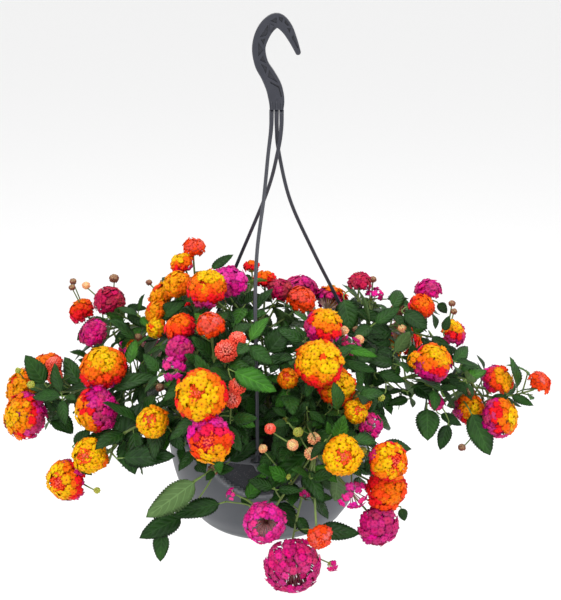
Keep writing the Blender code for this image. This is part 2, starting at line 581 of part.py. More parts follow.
class Layout:
    """Every stem, stalk and leaf, grown in order round what is already there."""

    def __init__(self):
        self.heads = [(name, stem, Vector(c), r, Vector(f).normalized())
                      for name, stem, _, parts in HEADS for c, r, f in parts]
        self.wood = []
        self.blades = []
        self.stems = {}
        self.stalks = {name: [] for name, _, _ in STEMS}
        self.leaves = {name: [] for name, _, _ in STEMS}
        for side, route in STRAND_ROUTES.items():
            ends = list(route[:-1]) + [around(LUG_AZIMUTHS[side], LUG_RADIUS, POT_HEIGHT - 4.0)]
            self.wood += [(p, STRAND_RADIUS, "strand") for p in smooth_path(ends, 5.0)]
        for name, root, way in STEMS:
            self.add_stem(name, root, way)
        for name, stem, centre, radius, facing in self.heads:
            self.add_stalk(name, stem, centre, radius, facing)
        for name, _, _ in STEMS:
            self.add_leaves(name)

    def add_stem(self, name, root, way):
        """Smooth main stem from its hole in the soil through its way points."""
        start = Vector((root[0], root[1], SOIL_TOP - 28.0))
        collar = Vector((root[0], root[1], SOIL_TOP + 6.0))
        path = [start] + smooth_path([collar] + list(way), 26.0)
        self.stems[name] = path
        self.wood += [(p, STEM_RADIUS, name) for p in along_path(path, 4.0)]

    def room(self, point, margin, name, near=()):
        """Free distance from a point to heads, pot, soil, strands and other nodes' wood."""
        free = 1e9
        for _, _, centre, radius, _ in self.heads:
            if centre not in near:
                free = min(free, (point - centre).length - radius)
        spread = math.hypot(point.x, point.y)
        if point.z < POT_HEIGHT + 3.0:
            outside = spread - (wall_radius(point.z) + 3.0 if point.z < POT_HEIGHT - 14 else LUG_RADIUS + 5.0)
            if spread > 118.0 or point.z < SOIL_TOP:
                free = min(free, outside)
            else:
                free = min(free, point.z - SOIL_TOP - 1.0, 118.0 - spread)
        for other, radius, owner in self.wood:
            if owner != name:
                free = min(free, (point - other).length - radius)
        return free - margin

    def add_stalk(self, head, stem, centre, radius, facing):
        """Flower stalk from the stem to the back of a head, by the freest of several routes."""
        path = self.stems[stem]
        base = centre - facing * (radius * HEAD_CORE + SEAT_GAP)
        near = min(range(2, len(path)), key=lambda k: (path[k] - base).length)
        best = None
        for back in (1, 2, 0, 3, 4):
            k = max(2, near - back)
            start = path[k] + Vector((0.17, 0.11, 0.07)) * (len(self.stalks[stem]) + 1)
            reach = (base - start).length
            lift = Vector((0, 0, 1))
            out = (base - start).normalized()
            side = out.cross(lift).normalized()
            for bend in STALK_BENDS:
                middle = start.lerp(base - facing * reach * 0.25, 0.6)
                middle += (lift * bend[0] + side * bend[1]) * reach
                count = 2 if reach < 70.0 else 3
                neck = base - facing * 5.0
                route = [start * (1 - t) ** 2 + middle * 2 * t * (1 - t) + neck * t * t
                         for t in (j / count for j in range(count + 1))] + [base]
                score = min(self.room(p, 2.2, stem, (centre,)) for p in along_path(route, 5.0)[1:])
                away = min((p - centre).length - radius * 0.7 for p in route[:-1])
                score = min(score, away) - abs(bend[0]) * 2 - abs(bend[1]) * 2 - back * 0.3
                if best is None or score > best[0]:
                    best = (score, route)
                if score > 2.5:
                    break
            if best[0] > 2.5:
                break
        route = best[1]
        self.stalks[stem].append((head, route, facing, radius))
        self.wood += [(p, STALK_RADIUS, stem) for p in along_path(route, 4.0)[1:]]

    def blade_points(self, origin, along, normal, length, width):
        """Sample points over a leaf blade."""
        side = normal.cross(along)
        points = []
        for s in (0.18, 0.32, 0.46, 0.6, 0.74, 0.88, 1.0):
            half = width * leaf_width(s)
            droop = -normal * length * 0.16 * s * s
            for a in (-1.0, -0.6, -0.2, 0.2, 0.6, 1.0):
                fold = normal * abs(a) * half * 0.25
                points.append(origin + along * length * s + side * half * a + droop + fold)
        return points

    def add_leaves(self, name):
        """Opposite leaf pairs up the stem and on the long stalks, each turned until it is clear."""
        rng = random.Random(name)
        runs = [(along_path(self.stems[name], 4.0), 52.0, LEAF_SPACING, 1.0)]
        for _, route, _, _ in self.stalks[name]:
            length = sum((b - a).length for a, b in zip(route, route[1:]))
            if length > 100.0:
                runs.append((along_path(route, 4.0), 38.0, 200.0, 0.85))
        for path, skip, spacing, scale in runs:
            travelled = 0.0
            due = skip
            turn = rng.uniform(0, math.pi)
            for i in range(1, len(path) - 4):
                travelled += (path[i] - path[i - 1]).length
                if travelled < due:
                    continue
                due += spacing * rng.uniform(0.85, 1.15)
                turn += math.pi / 2
                for half in (0.0, math.pi):
                    self.try_leaf(rng, name, path, i, turn + half, scale)

    def try_leaf(self, rng, name, path, i, turn, scale):
        """Place one leaf if some direction near its own is clear of everything."""
        here = path[i]
        along_stem = (path[i + 1] - path[i - 1]).normalized()
        ortho = along_stem.orthogonal().normalized()
        size = scale * rng.uniform(0.8, 1.15)
        for attempt in range(14):
            shrink = 1.0 if attempt < 8 else 0.8
            swing = turn + rng.uniform(-0.25, 0.25) * (1 + attempt * 0.6)
            out = Matrix.Rotation(swing, 3, along_stem) @ ortho
            along = out + along_stem * rng.uniform(0.1, 0.7)
            along = (along + Vector((0, 0, rng.uniform(-0.35, 0.3)))).normalized()
            up = Vector((0, 0, 1)) + Vector((here.x, here.y, 0)).normalized() * 0.35
            normal = (up - along * up.dot(along))
            if normal.length < 0.25:
                continue
            normal.normalize()
            length = 60.0 * size * shrink
            width = length * 0.24
            points = self.blade_points(here, along, normal, length, width)
            if min(self.room(p, 2.6, name) for p in points) < 0:
                continue
            if min(self.own_room(p, name, here) for p in points) < 0:
                continue
            if any((p - q).length < 5.0 for p in points for q in self.blades):
                continue
            self.blades += points
            self.leaves[name].append((here, along, normal, length, width))
            return

    def own_room(self, point, name, here):
        """Distance from a blade point to the same node's wood, past the leaf's own root."""
        free = 1e9
        for other, radius, owner in self.wood:
            if owner == name and (other - here).length > 9.0:
                free = min(free, (point - other).length - radius - 1.6)
        return free


def leaf_width(s):
    """Half width of a leaf along its length, from 0 at the root to 1 at the widest place."""
    if s < 0.14:
        return 0.10
    t = (s - 0.14) / 0.86
    return 0.10 + 0.90 * math.sin(math.pi * t ** 0.72) ** 0.85


def build_leaf(origin, along, normal, length, width):
    """Serrated blade, folded on its midrib and drooping to the tip."""
    side = normal.cross(along)
    edge = [(0.0, 0.10), (0.14, 0.12)]
    for tooth in range(LEAF_TEETH):
        s = 0.32 + 0.58 * tooth / LEAF_TEETH
        edge.append((s, leaf_width(s) * 1.04))
        edge.append((s + 0.06, leaf_width(s + 0.06) * 0.86))
    edge.append((1.0, 0.0))
    ribs = [0.0, 0.22, 1.0]

    def place(s, half):
        point = origin + along * length * s + side * half * width
        return point + normal * (abs(half) * width * 0.25 - length * 0.16 * s * s)

    top = [place(s, 0.0) for s in ribs]
    count = len(edge) - 2
    top += [place(s, w) for s, w in edge[1:-1]]
    top += [place(s, -w) for s, w in edge[1:-1]]
    faces = []
    for first in (3, 3 + count):
        rib, k = 0, 0
        chain = [(s, first + j) for j, (s, _) in enumerate(edge[1:-1])]
        while rib < 2 or k < count - 1:
            next_rib = ribs[rib + 1] if rib < 2 else 9.0
            next_edge = chain[k + 1][0] if k < count - 1 else 8.0
            if next_edge < next_rib:
                faces.append((rib, chain[k][1], chain[k + 1][1]))
                k += 1
            else:
                faces.append((rib, chain[k][1], rib + 1))
                rib += 1
    border = [0] + [3 + j for j in range(count)] + [2] + [3 + count + j for j in range(count)][::-1]
    size = len(top)
    points = [p + normal * LEAF_THICK / 2 for p in top] + [p - normal * LEAF_THICK / 2 for p in top]
    solid = list(faces) + [tuple(size + v for v in face) for face in faces]
    solid += [(a, b, size + b, size + a) for a, b in zip(border, border[1:] + border[:1])]
    return make_object("leaf", points, solid, triangles=True)


def build_stem(layout, name, material):
    """One node: main stem, its stalks and its leaves in a single union."""
    path = layout.stems[name]
    radii = [STEM_RADIUS * (1.0 - 0.45 * k / len(path)) for k in range(len(path))]
    stem = tube(name, path, radii, 4)
    pieces = []
    for _, route, facing, radius in layout.stalks[name]:
        pieces.append(tube("stalk", route, [STALK_RADIUS * 1.2] * (len(route) - 1) + [STALK_RADIUS], 3))
    pieces += [build_leaf(*leaf) for leaf in layout.leaves[name]]
    combine(stem, pieces, "UNION", "MANIFOLD")
    return finish(stem, material)


def build_head(centre, radius, facing, seed):
    """Umbel: a small core with the florets raised from it, each with a wider tip."""
    bm = bmesh.new()
    bmesh.ops.create_icosphere(bm, subdivisions=1, radius=1.0)
    turn = facing.to_track_quat("Z", "Y").to_matrix()
    rng = random.Random(seed)
    for vert in bm.verts:
        vert.co *= HEAD_CORE
    for face in list(bm.faces):
        middle = face.calc_center_median().normalized()
        if middle.z < (-0.3 if radius > 22.0 else -0.1):
            continue
        tip = bmesh.ops.extrude_discrete_faces(bm, faces=[face])["faces"][0]
        reach = rng.uniform(0.86, 0.95)
        for vert in tip.verts:
            direction = vert.co.normalized()
            vert.co = middle * reach + (direction - middle) * 0.62
    for vert in bm.verts:
        vert.co = (centre + turn @ vert.co * radius) * MM
    mesh = bpy.data.meshes.new("head")
    bm.to_mesh(mesh)
    bm.free()
    return mesh


def build_heads(name, parts, material):
    """One node: a head, or several that have grown together."""
    objects = []
    for k, (centre, radius, facing) in enumerate(parts):
        mesh = build_head(Vector(centre), radius, Vector(facing).normalized(), name + str(k))
        obj = bpy.data.objects.new(name, mesh)
        bpy.context.scene.collection.objects.link(obj)
        objects.append(obj)
    centres = [Vector(centre) for centre, _, _ in parts]
    links = [tube("link", [a, b], 2.4, 3) for a, b in zip(centres, centres[1:])]
    first = objects[0]
    combine(first, objects[1:] + links, "UNION", "MANIFOLD")
    first.name = name
    return finish(first, material)


def main():
    """Build every part of the basket."""
    for obj in list(bpy.data.objects):
        bpy.data.objects.remove(obj)
    materials = {name: new_material(name) for name in COLOURS}
    build_pot(materials["pot_plastic"])
    build_soil(materials["soil"], [root for _, root, _ in STEMS])
    build_hook(materials["hanger_plastic"])
    for side, route in STRAND_ROUTES.items():
        build_strand(side, route, materials["hanger_plastic"])
    layout = Layout()
    for name, _, _ in STEMS:
        build_stem(layout, name, materials["leaf"])
    for name, _, colour, parts in HEADS:
        build_heads(name, parts, materials[colour])


main()
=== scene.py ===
"""Lantana hanging basket, dressed: bowl, soil, moulded hanger, leafy stems and flower heads.

The plant is laid out in millimetres with the pot's base centre at the origin, as in the frame.
"""
import json
import logging
import math
import random
from collections import defaultdict
from dataclasses import dataclass, field
from enum import Enum

import bmesh
import bpy
import numpy as np
from mathutils import Matrix, Vector

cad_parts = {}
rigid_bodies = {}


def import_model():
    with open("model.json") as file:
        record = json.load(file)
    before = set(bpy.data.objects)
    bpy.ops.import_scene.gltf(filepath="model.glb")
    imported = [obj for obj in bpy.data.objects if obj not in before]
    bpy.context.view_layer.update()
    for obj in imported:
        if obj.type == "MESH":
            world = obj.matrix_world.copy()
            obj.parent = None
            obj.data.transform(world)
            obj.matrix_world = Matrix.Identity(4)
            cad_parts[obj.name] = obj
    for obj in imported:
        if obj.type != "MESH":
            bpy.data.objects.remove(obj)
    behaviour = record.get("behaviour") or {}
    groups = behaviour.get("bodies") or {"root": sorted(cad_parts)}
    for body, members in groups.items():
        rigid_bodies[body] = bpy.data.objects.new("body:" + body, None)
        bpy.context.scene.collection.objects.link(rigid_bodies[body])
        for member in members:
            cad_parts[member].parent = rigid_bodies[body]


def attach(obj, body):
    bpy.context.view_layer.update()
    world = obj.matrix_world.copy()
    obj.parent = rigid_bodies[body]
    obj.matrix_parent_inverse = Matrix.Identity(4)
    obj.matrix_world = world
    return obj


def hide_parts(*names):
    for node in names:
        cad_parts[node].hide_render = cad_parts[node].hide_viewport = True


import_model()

logging.basicConfig(level=logging.INFO, format="%(message)s")
log = logging.getLogger("basket")

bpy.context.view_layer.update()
MM = 0.001
Colour = tuple[float, float, float]
Point = tuple[float, float, float]
Pairs = tuple[tuple[float, float], ...]
Socket = bpy.types.NodeSocket
Tree = bpy.types.NodeTree
# every finish's material by name, filled in by main()
MATERIALS: dict[str, bpy.types.Material] = {}

# layout shared with the frame
POT_HEIGHT = 132.0
LIP_HEIGHT = 11.0
WALL = 2.6
WALL_PROFILE = ((0.0, 66.0), (4.0, 78.0), (14.0, 90.0), (36.0, 103.5), (74.0, 115.5), (120.0, 122.5))
LUG_AZIMUTHS = {"front": -5.0, "right": 115.0, "left": 235.0}
LUG_RADIUS = 133.5
LUG_THICK = 3.2
LUG_HOLE = 2.7
LUG_LEVEL = POT_HEIGHT - 6.0
SOIL_TOP = 113.0
HOOK_DEPTH = 8.0
HOOK_WEB = 2.4
STRAND_RADIUS = 1.9
HOOK_LINE = ((33.6, 564.0, 3.0), (28.2, 577.0, 4.6), (20.6, 591.0, 6.6), (11.0, 599.0, 7.8),
             (1.6, 594.5, 8.2), (-6.0, 583.5, 8.2), (-10.1, 568.6, 7.5), (-7.2, 551.5, 7.6),
             (0.2, 538.5, 8.2), (6.6, 525.0, 9.0), (9.6, 511.0, 8.8), (9.6, 500.0, 7.6))
STRAND_ROUTES = {
    "front": ((4.0, 0, 500), (3.4, -0.5, 478), (0, -8, 450), (-5, -26, 402), (-12, -55, 352), (-14, -85, 302),
              (-13, -107, 240), (-12, -123, 185), (-11.6, -133, 142)),
    "right": ((9.6, 0, 500), (9.8, 2, 478), (11.8, 5, 452), (25, 12, 393), (52, 28, 328), (83, 42, 262),
              (103, 52, 215), (117, 57, 170), (121, 56.4, 142)),
    "left": ((15.2, 0, 500), (14.8, -2, 478), (10.8, -3, 452), (-2, 12, 401), (-38, 38, 308), (-66, 56, 233),
             (-90, 68, 180), (-109.4, 76.6, 142)),
}
STEMS = (
    ("stem_left_high", (-36, 14), ((-84, 20, 205), (-150, 36, 232), (-200, 46, 222))),
    ("stem_left", (-52, -8), ((-118, -28, 178), (-200, -24, 174), (-256, -4, 160))),
    ("stem_left_low", (-46, -34), ((-104, -84, 162), (-162, -108, 152), (-182, -100, 112))),
    ("stem_top_left", (-30, 34), ((-56, 26, 200), (-96, 14, 262))),
    ("stem_front_left", (-24, -36), ((-50, -80, 182), (-62, -120, 226))),
    ("stem_top", (0, 6), ((-4, 0, 190), (-12, 0, 258))),
    ("stem_front_right", (26, -26), ((42, -60, 180), (50, -90, 222))),
    ("stem_right_high", (40, 14), ((80, 18, 188), (130, 34, 224), (168, 40, 236))),
    ("stem_right", (52, -12), ((112, -22, 172), (180, -14, 186), (238, -4, 178))),
    ("stem_low_front", (12, -54), ((42, -112, 166), (50, -158, 150), (46, -168, 118))),
    ("stem_back_left", (-20, 56), ((-56, 108, 190), (-112, 162, 186))),
    ("stem_back_right", (26, 48), ((70, 108, 186), (130, 160, 190))),
)
STEM_RADIUS = 2.3
STALK_RADIUS = 1.25
# bends tried for a flower stalk: upward and sideways, as shares of its reach
STALK_BENDS = ((0, 0), (0.2, 0), (-0.2, 0), (0, 0.25), (0, -0.25), (0.3, 0.25), (0.3, -0.25),
               (-0.35, 0), (0.45, 0), (-0.3, 0.3), (-0.3, -0.3), (0, 0.5), (0, -0.5))
HEAD_CORE = 0.64
SEAT_GAP = 0.4
LEAF_SPACING = 112.0

# camera
CAMERA_X = 14.0
CAMERA_DISTANCE = 1600.0
CAMERA_HEIGHT = 780.0
CAMERA_PITCH = 17.5
FOCAL_PIXELS = 1433.0
IMAGE_SIZE = (561, 600)
SENSOR = 36.0


def from_view(u: float, v: float, y: float) -> Vector:
    """Point in millimetres that the camera sees at an image position, on a plane across the view.

    Args:
        u: Image column.
        v: Image row.
        y: Depth of the plane, negative towards the camera.

    Returns:
        The point.
    """
    pitch = math.radians(CAMERA_PITCH)
    across = (u - IMAGE_SIZE[0] / 2) / FOCAL_PIXELS
    rise = (IMAGE_SIZE[1] / 2 - v) / FOCAL_PIXELS
    forward = math.cos(pitch) + rise * math.sin(pitch)
    upward = -math.sin(pitch) + rise * math.cos(pitch)
    reach = (y + CAMERA_DISTANCE) / forward
    return Vector((CAMERA_X + across * reach, y, CAMERA_HEIGHT + upward * reach))


# colours (linear)
class Tone(Enum):
    """Petal and bud colours."""

    YELLOW = (1.0, 0.58, 0.0)
    GOLD = (1.0, 0.40, 0.0)
    ORANGE = (1.0, 0.20, 0.0)
    FLAME = (1.0, 0.075, 0.003)
    RED = (0.90, 0.008, 0.014)
    ROSE = (0.86, 0.010, 0.080)
    MAGENTA = (0.62, 0.0, 0.20)
    PINK = (0.74, 0.004, 0.30)
    CRIMSON = (0.50, 0.0, 0.080)
    CORAL = (0.92, 0.10, 0.055)
    BLUSH = (0.90, 0.20, 0.15)
    CREAM = (0.86, 0.56, 0.25)
    PEACH = (0.90, 0.40, 0.18)
    LIME = (0.40, 0.42, 0.06)
    TAN = (0.36, 0.19, 0.10)
    RUST = (0.20, 0.07, 0.04)


class Age(Enum):
    """Stage of an umbel: its tones from the middle outward, as (angle from the middle, tone)."""

    GOLD_RING = ((12, Tone.FLAME), (54, Tone.YELLOW), (76, Tone.ORANGE), (94, Tone.RED), (180, Tone.MAGENTA))
    GOLD = ((12, Tone.FLAME), (68, Tone.YELLOW), (90, Tone.GOLD), (180, Tone.ORANGE))
    RIPE = ((12, Tone.FLAME), (50, Tone.YELLOW), (64, Tone.GOLD), (78, Tone.FLAME), (180, Tone.RED))
    CROWN = ((44, Tone.YELLOW), (66, Tone.ORANGE), (86, Tone.FLAME), (104, Tone.RED), (180, Tone.PINK))
    SUNSET = ((26, Tone.YELLOW), (48, Tone.GOLD), (72, Tone.FLAME), (92, Tone.ROSE), (180, Tone.PINK))
    AMBER = ((20, Tone.FLAME), (62, Tone.GOLD), (180, Tone.ORANGE))
    FLAME = ((40, Tone.ORANGE), (70, Tone.FLAME), (96, Tone.RED), (180, Tone.ROSE))
    FADING = ((28, Tone.YELLOW), (46, Tone.GOLD), (62, Tone.ORANGE), (78, Tone.RED), (180, Tone.MAGENTA))
    MAGENTA = ((180, Tone.MAGENTA),)
    PINK = ((180, Tone.PINK),)
    CRIMSON = ((180, Tone.CRIMSON),)
    CORAL = ((34, Tone.BLUSH), (60, Tone.CORAL), (180, Tone.FLAME))
    BUD_CORAL = ((40, Tone.BLUSH), (180, Tone.CORAL))
    BUD_CREAM = ((50, Tone.CREAM), (180, Tone.PEACH))
    BUD_GREEN = ((180, Tone.LIME),)
    SPENT = ((50, Tone.TAN), (180, Tone.RUST))


class Form(Enum):
    """How the florets of an umbel stand."""

    DOME = "florets all over, touching"
    BUDDED = "a dome whose middle is still in bud"
    OPEN = "a ring of florets round the bare hub"
    SPARSE = "a few florets on bare tubes"
    BUDS = "closed buds only"


@dataclass(frozen=True)
class Look:
    """Appearance of one umbel.

    Args:
        age: Its stage.
        form: How its florets stand.
        petal: Radius of a floret in millimetres.
        axis: Direction of its youngest florets, where that isn't the way it faces.
        bud_angle: Half angle of the middle that is still in bud, in degrees.
        flat: Depth of the dome as a share of its width.
        swell: Its radius as a share of the frame's.
    """

    age: Age
    form: Form = Form.DOME
    petal: float = 5.1
    axis: Point | None = None
    bud_angle: float = 27.0
    flat: float = 0.74
    swell: float = 1.1


# closed buds, by colour
CORAL_BUDS = Look(Age.BUD_CORAL, Form.BUDS)
CREAM_BUDS = Look(Age.BUD_CREAM, Form.BUDS)
GREEN_BUDS = Look(Age.BUD_GREEN, Form.BUDS)
SPENT_BUDS = Look(Age.SPENT, Form.BUDS)

# node, stem and heads, each as centre, radius, facing and look
HEADS = (
    ("head_left_top", "stem_left_high", (((-192, 40, 263), 19, (-2, -3, 8), Look(Age.CRIMSON, petal=4.7)),)),
    ("head_left_far", "stem_left_high", (
        ((-229, 60, 243), 16, (-5, -3, 6), Look(Age.FLAME, petal=4.5, axis=(-2, 0, 9))),)),
    ("head_left_behind", "stem_left_high", (
        ((-206, -8, 238), 17, (-4, -4, 7), Look(Age.MAGENTA, petal=4.7)),)),
    ("heads_left_pair", "stem_left", (
        ((-189, -60, 213), 25, (-2, -7, 7), Look(Age.CROWN, axis=(-1, -4, 9), swell=1.15)),
        ((-195, -88, 173), 25, (-3, -9, 3), Look(Age.FADING, axis=(-9, -3, -3))))),
    ("heads_left_end", "stem_left", (
        ((-288, -25, 140), 25, (-5, -8, 4), Look(Age.FADING, axis=(-7, -8, 3), swell=1.2)),
        ((-297, 18, 160), 23, (-8, -3, 5), Look(Age.AMBER, petal=4.9)),
        ((-268, 24, 184), 19, (-3, -3, 8), Look(Age.FLAME, petal=4.7)))),
    ("buds_left", "stem_left", (
        ((-254, -8, 200), 9, (-1, -3, 8), CORAL_BUDS), ((-252, -17, 186), 9, (-2, -8, 4), CORAL_BUDS))),
    ("heads_left_low", "stem_left_low", (
        ((-200, -122, 131), 20, (-3, -8, 3), Look(Age.GOLD, Form.BUDDED, 4.9)),
        ((-229, -116, 98), 23, (-5, -8, 2), Look(Age.GOLD_RING, Form.BUDDED, 5.4, (-6, -8, 2))))),
    ("head_left_front", "stem_left_low", (
        ((-126, -150, 184), 17, (-2, -8, 5), Look(Age.GOLD, Form.BUDDED, 4.9)),)),
    ("heads_front_left", "stem_front_left", (
        ((-70, -182, 227), 25, (-2, -8, 5), Look(Age.GOLD_RING, Form.BUDDED, 5.9, bud_angle=17.0, swell=1.2)),
        ((-61, -196, 182), 24, (-1, -9, 2), Look(Age.SUNSET, Form.BUDDED, 5.7, (1, -7, -5))))),
    ("buds_front_left", "stem_front_left", (
        ((-32, -160, 230), 9, (1, -4, 8), CORAL_BUDS), ((-38, -163, 215), 9, (0, -8, 4), CORAL_BUDS))),
    ("head_centre_left", "stem_front_left", (
        ((-63, -106, 281), 15, (0, -4, 9), Look(Age.CORAL, Form.BUDDED, 4.7)),)),
    ("buds_centre", "stem_front_left", (
        ((-33, -121, 270), 9, (0, -3, 8), CORAL_BUDS), ((-45, -130, 259), 12, (-1, -7, 6), CORAL_BUDS))),
    ("heads_column", "stem_front_left", (
        ((-98, -88, 272), 17, (-3, -3, 8), Look(Age.FLAME, petal=4.9)),
        ((-97, -112, 253), 15, (-2, -7, 5), Look(Age.MAGENTA)),
        ((-103, -131, 237), 14, (-3, -8, 3), Look(Age.PINK, Form.SPARSE, 5.5)))),
    ("heads_top_left", "stem_top_left", (
        ((-87, 20, 334), 13, (1, -3, 8), Look(Age.CORAL, Form.BUDDED, 4.3)),
        ((-101, 10, 318), 14, (-3, -3, 8), Look(Age.CROWN, petal=4.5)),
        ((-106, -12, 299), 16, (-4, -6, 6), Look(Age.AMBER, petal=4.8)))),
    ("heads_left_of_top", "stem_top_left", (
        ((-126, 24, 275), 17, (-6, -2, 7), Look(Age.AMBER, petal=4.7)),
        ((-133, 2, 260), 14, (-7, -4, 5), Look(Age.AMBER, petal=4.5)),
        ((-131, -18, 247), 12, (-7, -6, 3), Look(Age.GOLD, petal=4.5)))),
    ("heads_top", "stem_top", (
        ((-69, -58, 308), 20, (-2, -6, 7), Look(Age.CROWN, petal=5.2, axis=(1, -2, 9), swell=1.22)),
        ((-46, -24, 305), 19, (0, -2, 9), Look(Age.PINK, petal=4.9, swell=1.25)))),
    ("heads_behind_top", "stem_top", (
        ((-21, 44, 304), 9, (-1, 1, 9), Look(Age.FLAME, petal=4.3)),
        ((-6, 40, 289), 13, (-1, -1, 9), Look(Age.FLAME, petal=4.5)),
        ((14, 28, 280), 15, (1, -4, 8), Look(Age.CRIMSON, petal=4.7)),
        ((39, 12, 273), 17, (3, -3, 8), Look(Age.CORAL, Form.BUDDED, 4.7)))),
    ("head_centre_right", "stem_front_right", (
        ((62, -80, 271), 21, (1, -5, 8), Look(Age.FADING, axis=(4, -3, 8))),)),
    ("heads_front_right", "stem_front_right", (
        ((56, -131, 245), 24, (0, -8, 6), Look(Age.RIPE, petal=5.5, swell=1.2)),
        ((77, -112, 210), 21, (3, -8, 4), Look(Age.CROWN, petal=5.3)))),
    ("head_right_inner", "stem_front_right", (
        ((94, -56, 238), 14, (5, -2, 8), Look(Age.MAGENTA, Form.SPARSE, 5.1)),)),
    ("head_centre_small", "stem_front_right", (
        ((22, -112, 220), 11, (-1, -7, 6), Look(Age.AMBER, Form.BUDDED, 4.5)),)),
    ("heads_top_right", "stem_right_high", (
        ((110, 56, 281), 14, (1, -1, 9), Look(Age.CRIMSON, petal=4.7)),
        ((128, 60, 264), 12, (4, -2, 8), Look(Age.PINK, Form.SPARSE, 4.7)))),
    ("heads_right_high", "stem_right_high", (
        ((192, 50, 273), 16, (0, -1, 9), Look(Age.MAGENTA, petal=4.9)),
        ((182, 26, 260), 15, (3, -6, 6), Look(Age.FLAME, petal=4.7)))),
    ("head_right_above", "stem_right_high", (
        ((220, 12, 231), 16, (7, -3, 6), Look(Age.FADING, petal=4.9, axis=(0, -3, 9))),)),
    ("head_right_middle", "stem_right", (
        ((190, -44, 214), 21, (2, -7, 7), Look(Age.FADING, petal=5.2, axis=(3, -4, 8), swell=1.15)),)),
    ("head_right_small", "stem_right", (((196, -46, 165), 9, (3, -8, 3), Look(Age.MAGENTA, petal=4.5)),)),
    ("heads_right_low", "stem_right", (
        ((240, -6, 141), 18, (2, -8, 4), Look(Age.FADING, petal=4.9)),
        ((274, -24, 137), 23, (5, -8, 3), Look(Age.FADING, petal=5.3, axis=(9, -5, 3))))),
    ("head_right_out", "stem_right", (
        ((275, 12, 172), 19, (3, -3, 8), Look(Age.SUNSET, petal=5.0, axis=(6, -6, 3))),)),
    ("head_right_end", "stem_right", (((326, 12, 169), 14, (5, -2, 8), Look(Age.CORAL, Form.BUDDED, 4.7)),)),
    ("heads_rim_right", "stem_front_right", (
        ((97, -134, 189), 13, (4, -8, 5), Look(Age.GOLD, Form.BUDDED, 4.7)),
        ((113, -127, 169), 16, (5, -6, 6), Look(Age.MAGENTA, Form.SPARSE, 5.1, (0, -2, 9))))),
    ("head_front_low", "stem_low_front", (
        ((80, -195, 163), 21, (1, -9, 3), Look(Age.GOLD, Form.BUDDED, 5.5)),)),
    ("heads_low_right", "stem_low_front", (
        ((131, -182, 151), 21, (4, -8, 3), Look(Age.GOLD_RING, Form.BUDDED, 5.5, (2, -9, 3))),
        ((130, -168, 111), 23, (4, -8, 1), Look(Age.FLAME, petal=5.3)),
        ((92, -176, 110), 17, (1, -9, 1), Look(Age.PINK, Form.SPARSE, 5.1, (-3, -5, -7))),
        ((122, -174, 70), 22, (3, -9, -1), Look(Age.MAGENTA, petal=5.3)))),
    ("head_low_centre", "stem_low_front", (
        ((-3, -200, 87), 21, (-1, -9, 2), Look(Age.PINK, Form.OPEN, 5.0, swell=1.18)),)),
    ("head_lowest", "stem_low_front", (
        ((27, -206, 38), 26, (1, -9, -2), Look(Age.MAGENTA, Form.OPEN, 5.2, bud_angle=15.0, swell=1.3)),)),
    ("head_low_small", "stem_low_front", (
        ((56, -216, 78), 13, (2, -9, 0), Look(Age.CORAL, Form.BUDDED, 4.5)),)),
    ("buds_rim", "stem_low_front", (
        ((33, -160, 176), 8, (-1, -6, 7), Look(Age.BUD_GREEN, Form.BUDS, swell=0.7)),
        ((27, -168, 164), 8, (-2, -8, 4), Look(Age.BUD_CREAM, Form.BUDS, swell=0.8)))),
    ("bud_low_left", "stem_left_low", (((-60, -152, 128), 6, (-3, -8, 3), SPENT_BUDS),)),
    ("heads_back_left", "stem_back_left", (
        ((-60, 152, 238), 22, (-2, 6, 8), Look(Age.GOLD_RING, Form.BUDDED, 5.3)),
        ((-98, 148, 222), 22, (-5, 6, 6), Look(Age.CROWN)))),
    ("heads_back_low_left", "stem_back_left", (
        ((-176, 140, 170), 22, (-8, 5, 4), Look(Age.MAGENTA)),
        ((-152, 160, 153), 20, (-5, 8, 3), Look(Age.PINK, petal=4.9)))),
    ("heads_back_low", "stem_back_left", (
        ((-60, 203, 130), 23, (-2, 9, 2), Look(Age.SUNSET, petal=5.2)),
        ((-30, 200, 99), 22, (0, 9, 0), Look(Age.FLAME)))),
    ("heads_back_right", "stem_back_right", (
        ((40, 158, 240), 23, (1, 5, 8), Look(Age.MAGENTA, petal=5.2)),
        ((80, 152, 228), 22, (4, 6, 7), Look(Age.FADING)))),
    ("heads_back_low_right", "stem_back_right", (
        ((173, 122, 190), 23, (8, 5, 5), Look(Age.CROWN, petal=5.2)),
        ((152, 146, 168), 22, (6, 8, 3), Look(Age.GOLD, Form.BUDDED, 5.1)))),
)


class Shade(Enum):
    """Kinds of leaf colour, as factors on the leaf finish, and whether the underside faces the viewer."""

    DARK = ((0.62, 0.66, 0.70), False)
    MID = ((1.0, 1.0, 1.0), False)
    DULL = ((1.25, 1.05, 1.5), False)
    BRIGHT = ((1.9, 2.2, 0.9), False)
    PALE = ((1.0, 1.0, 1.0), True)


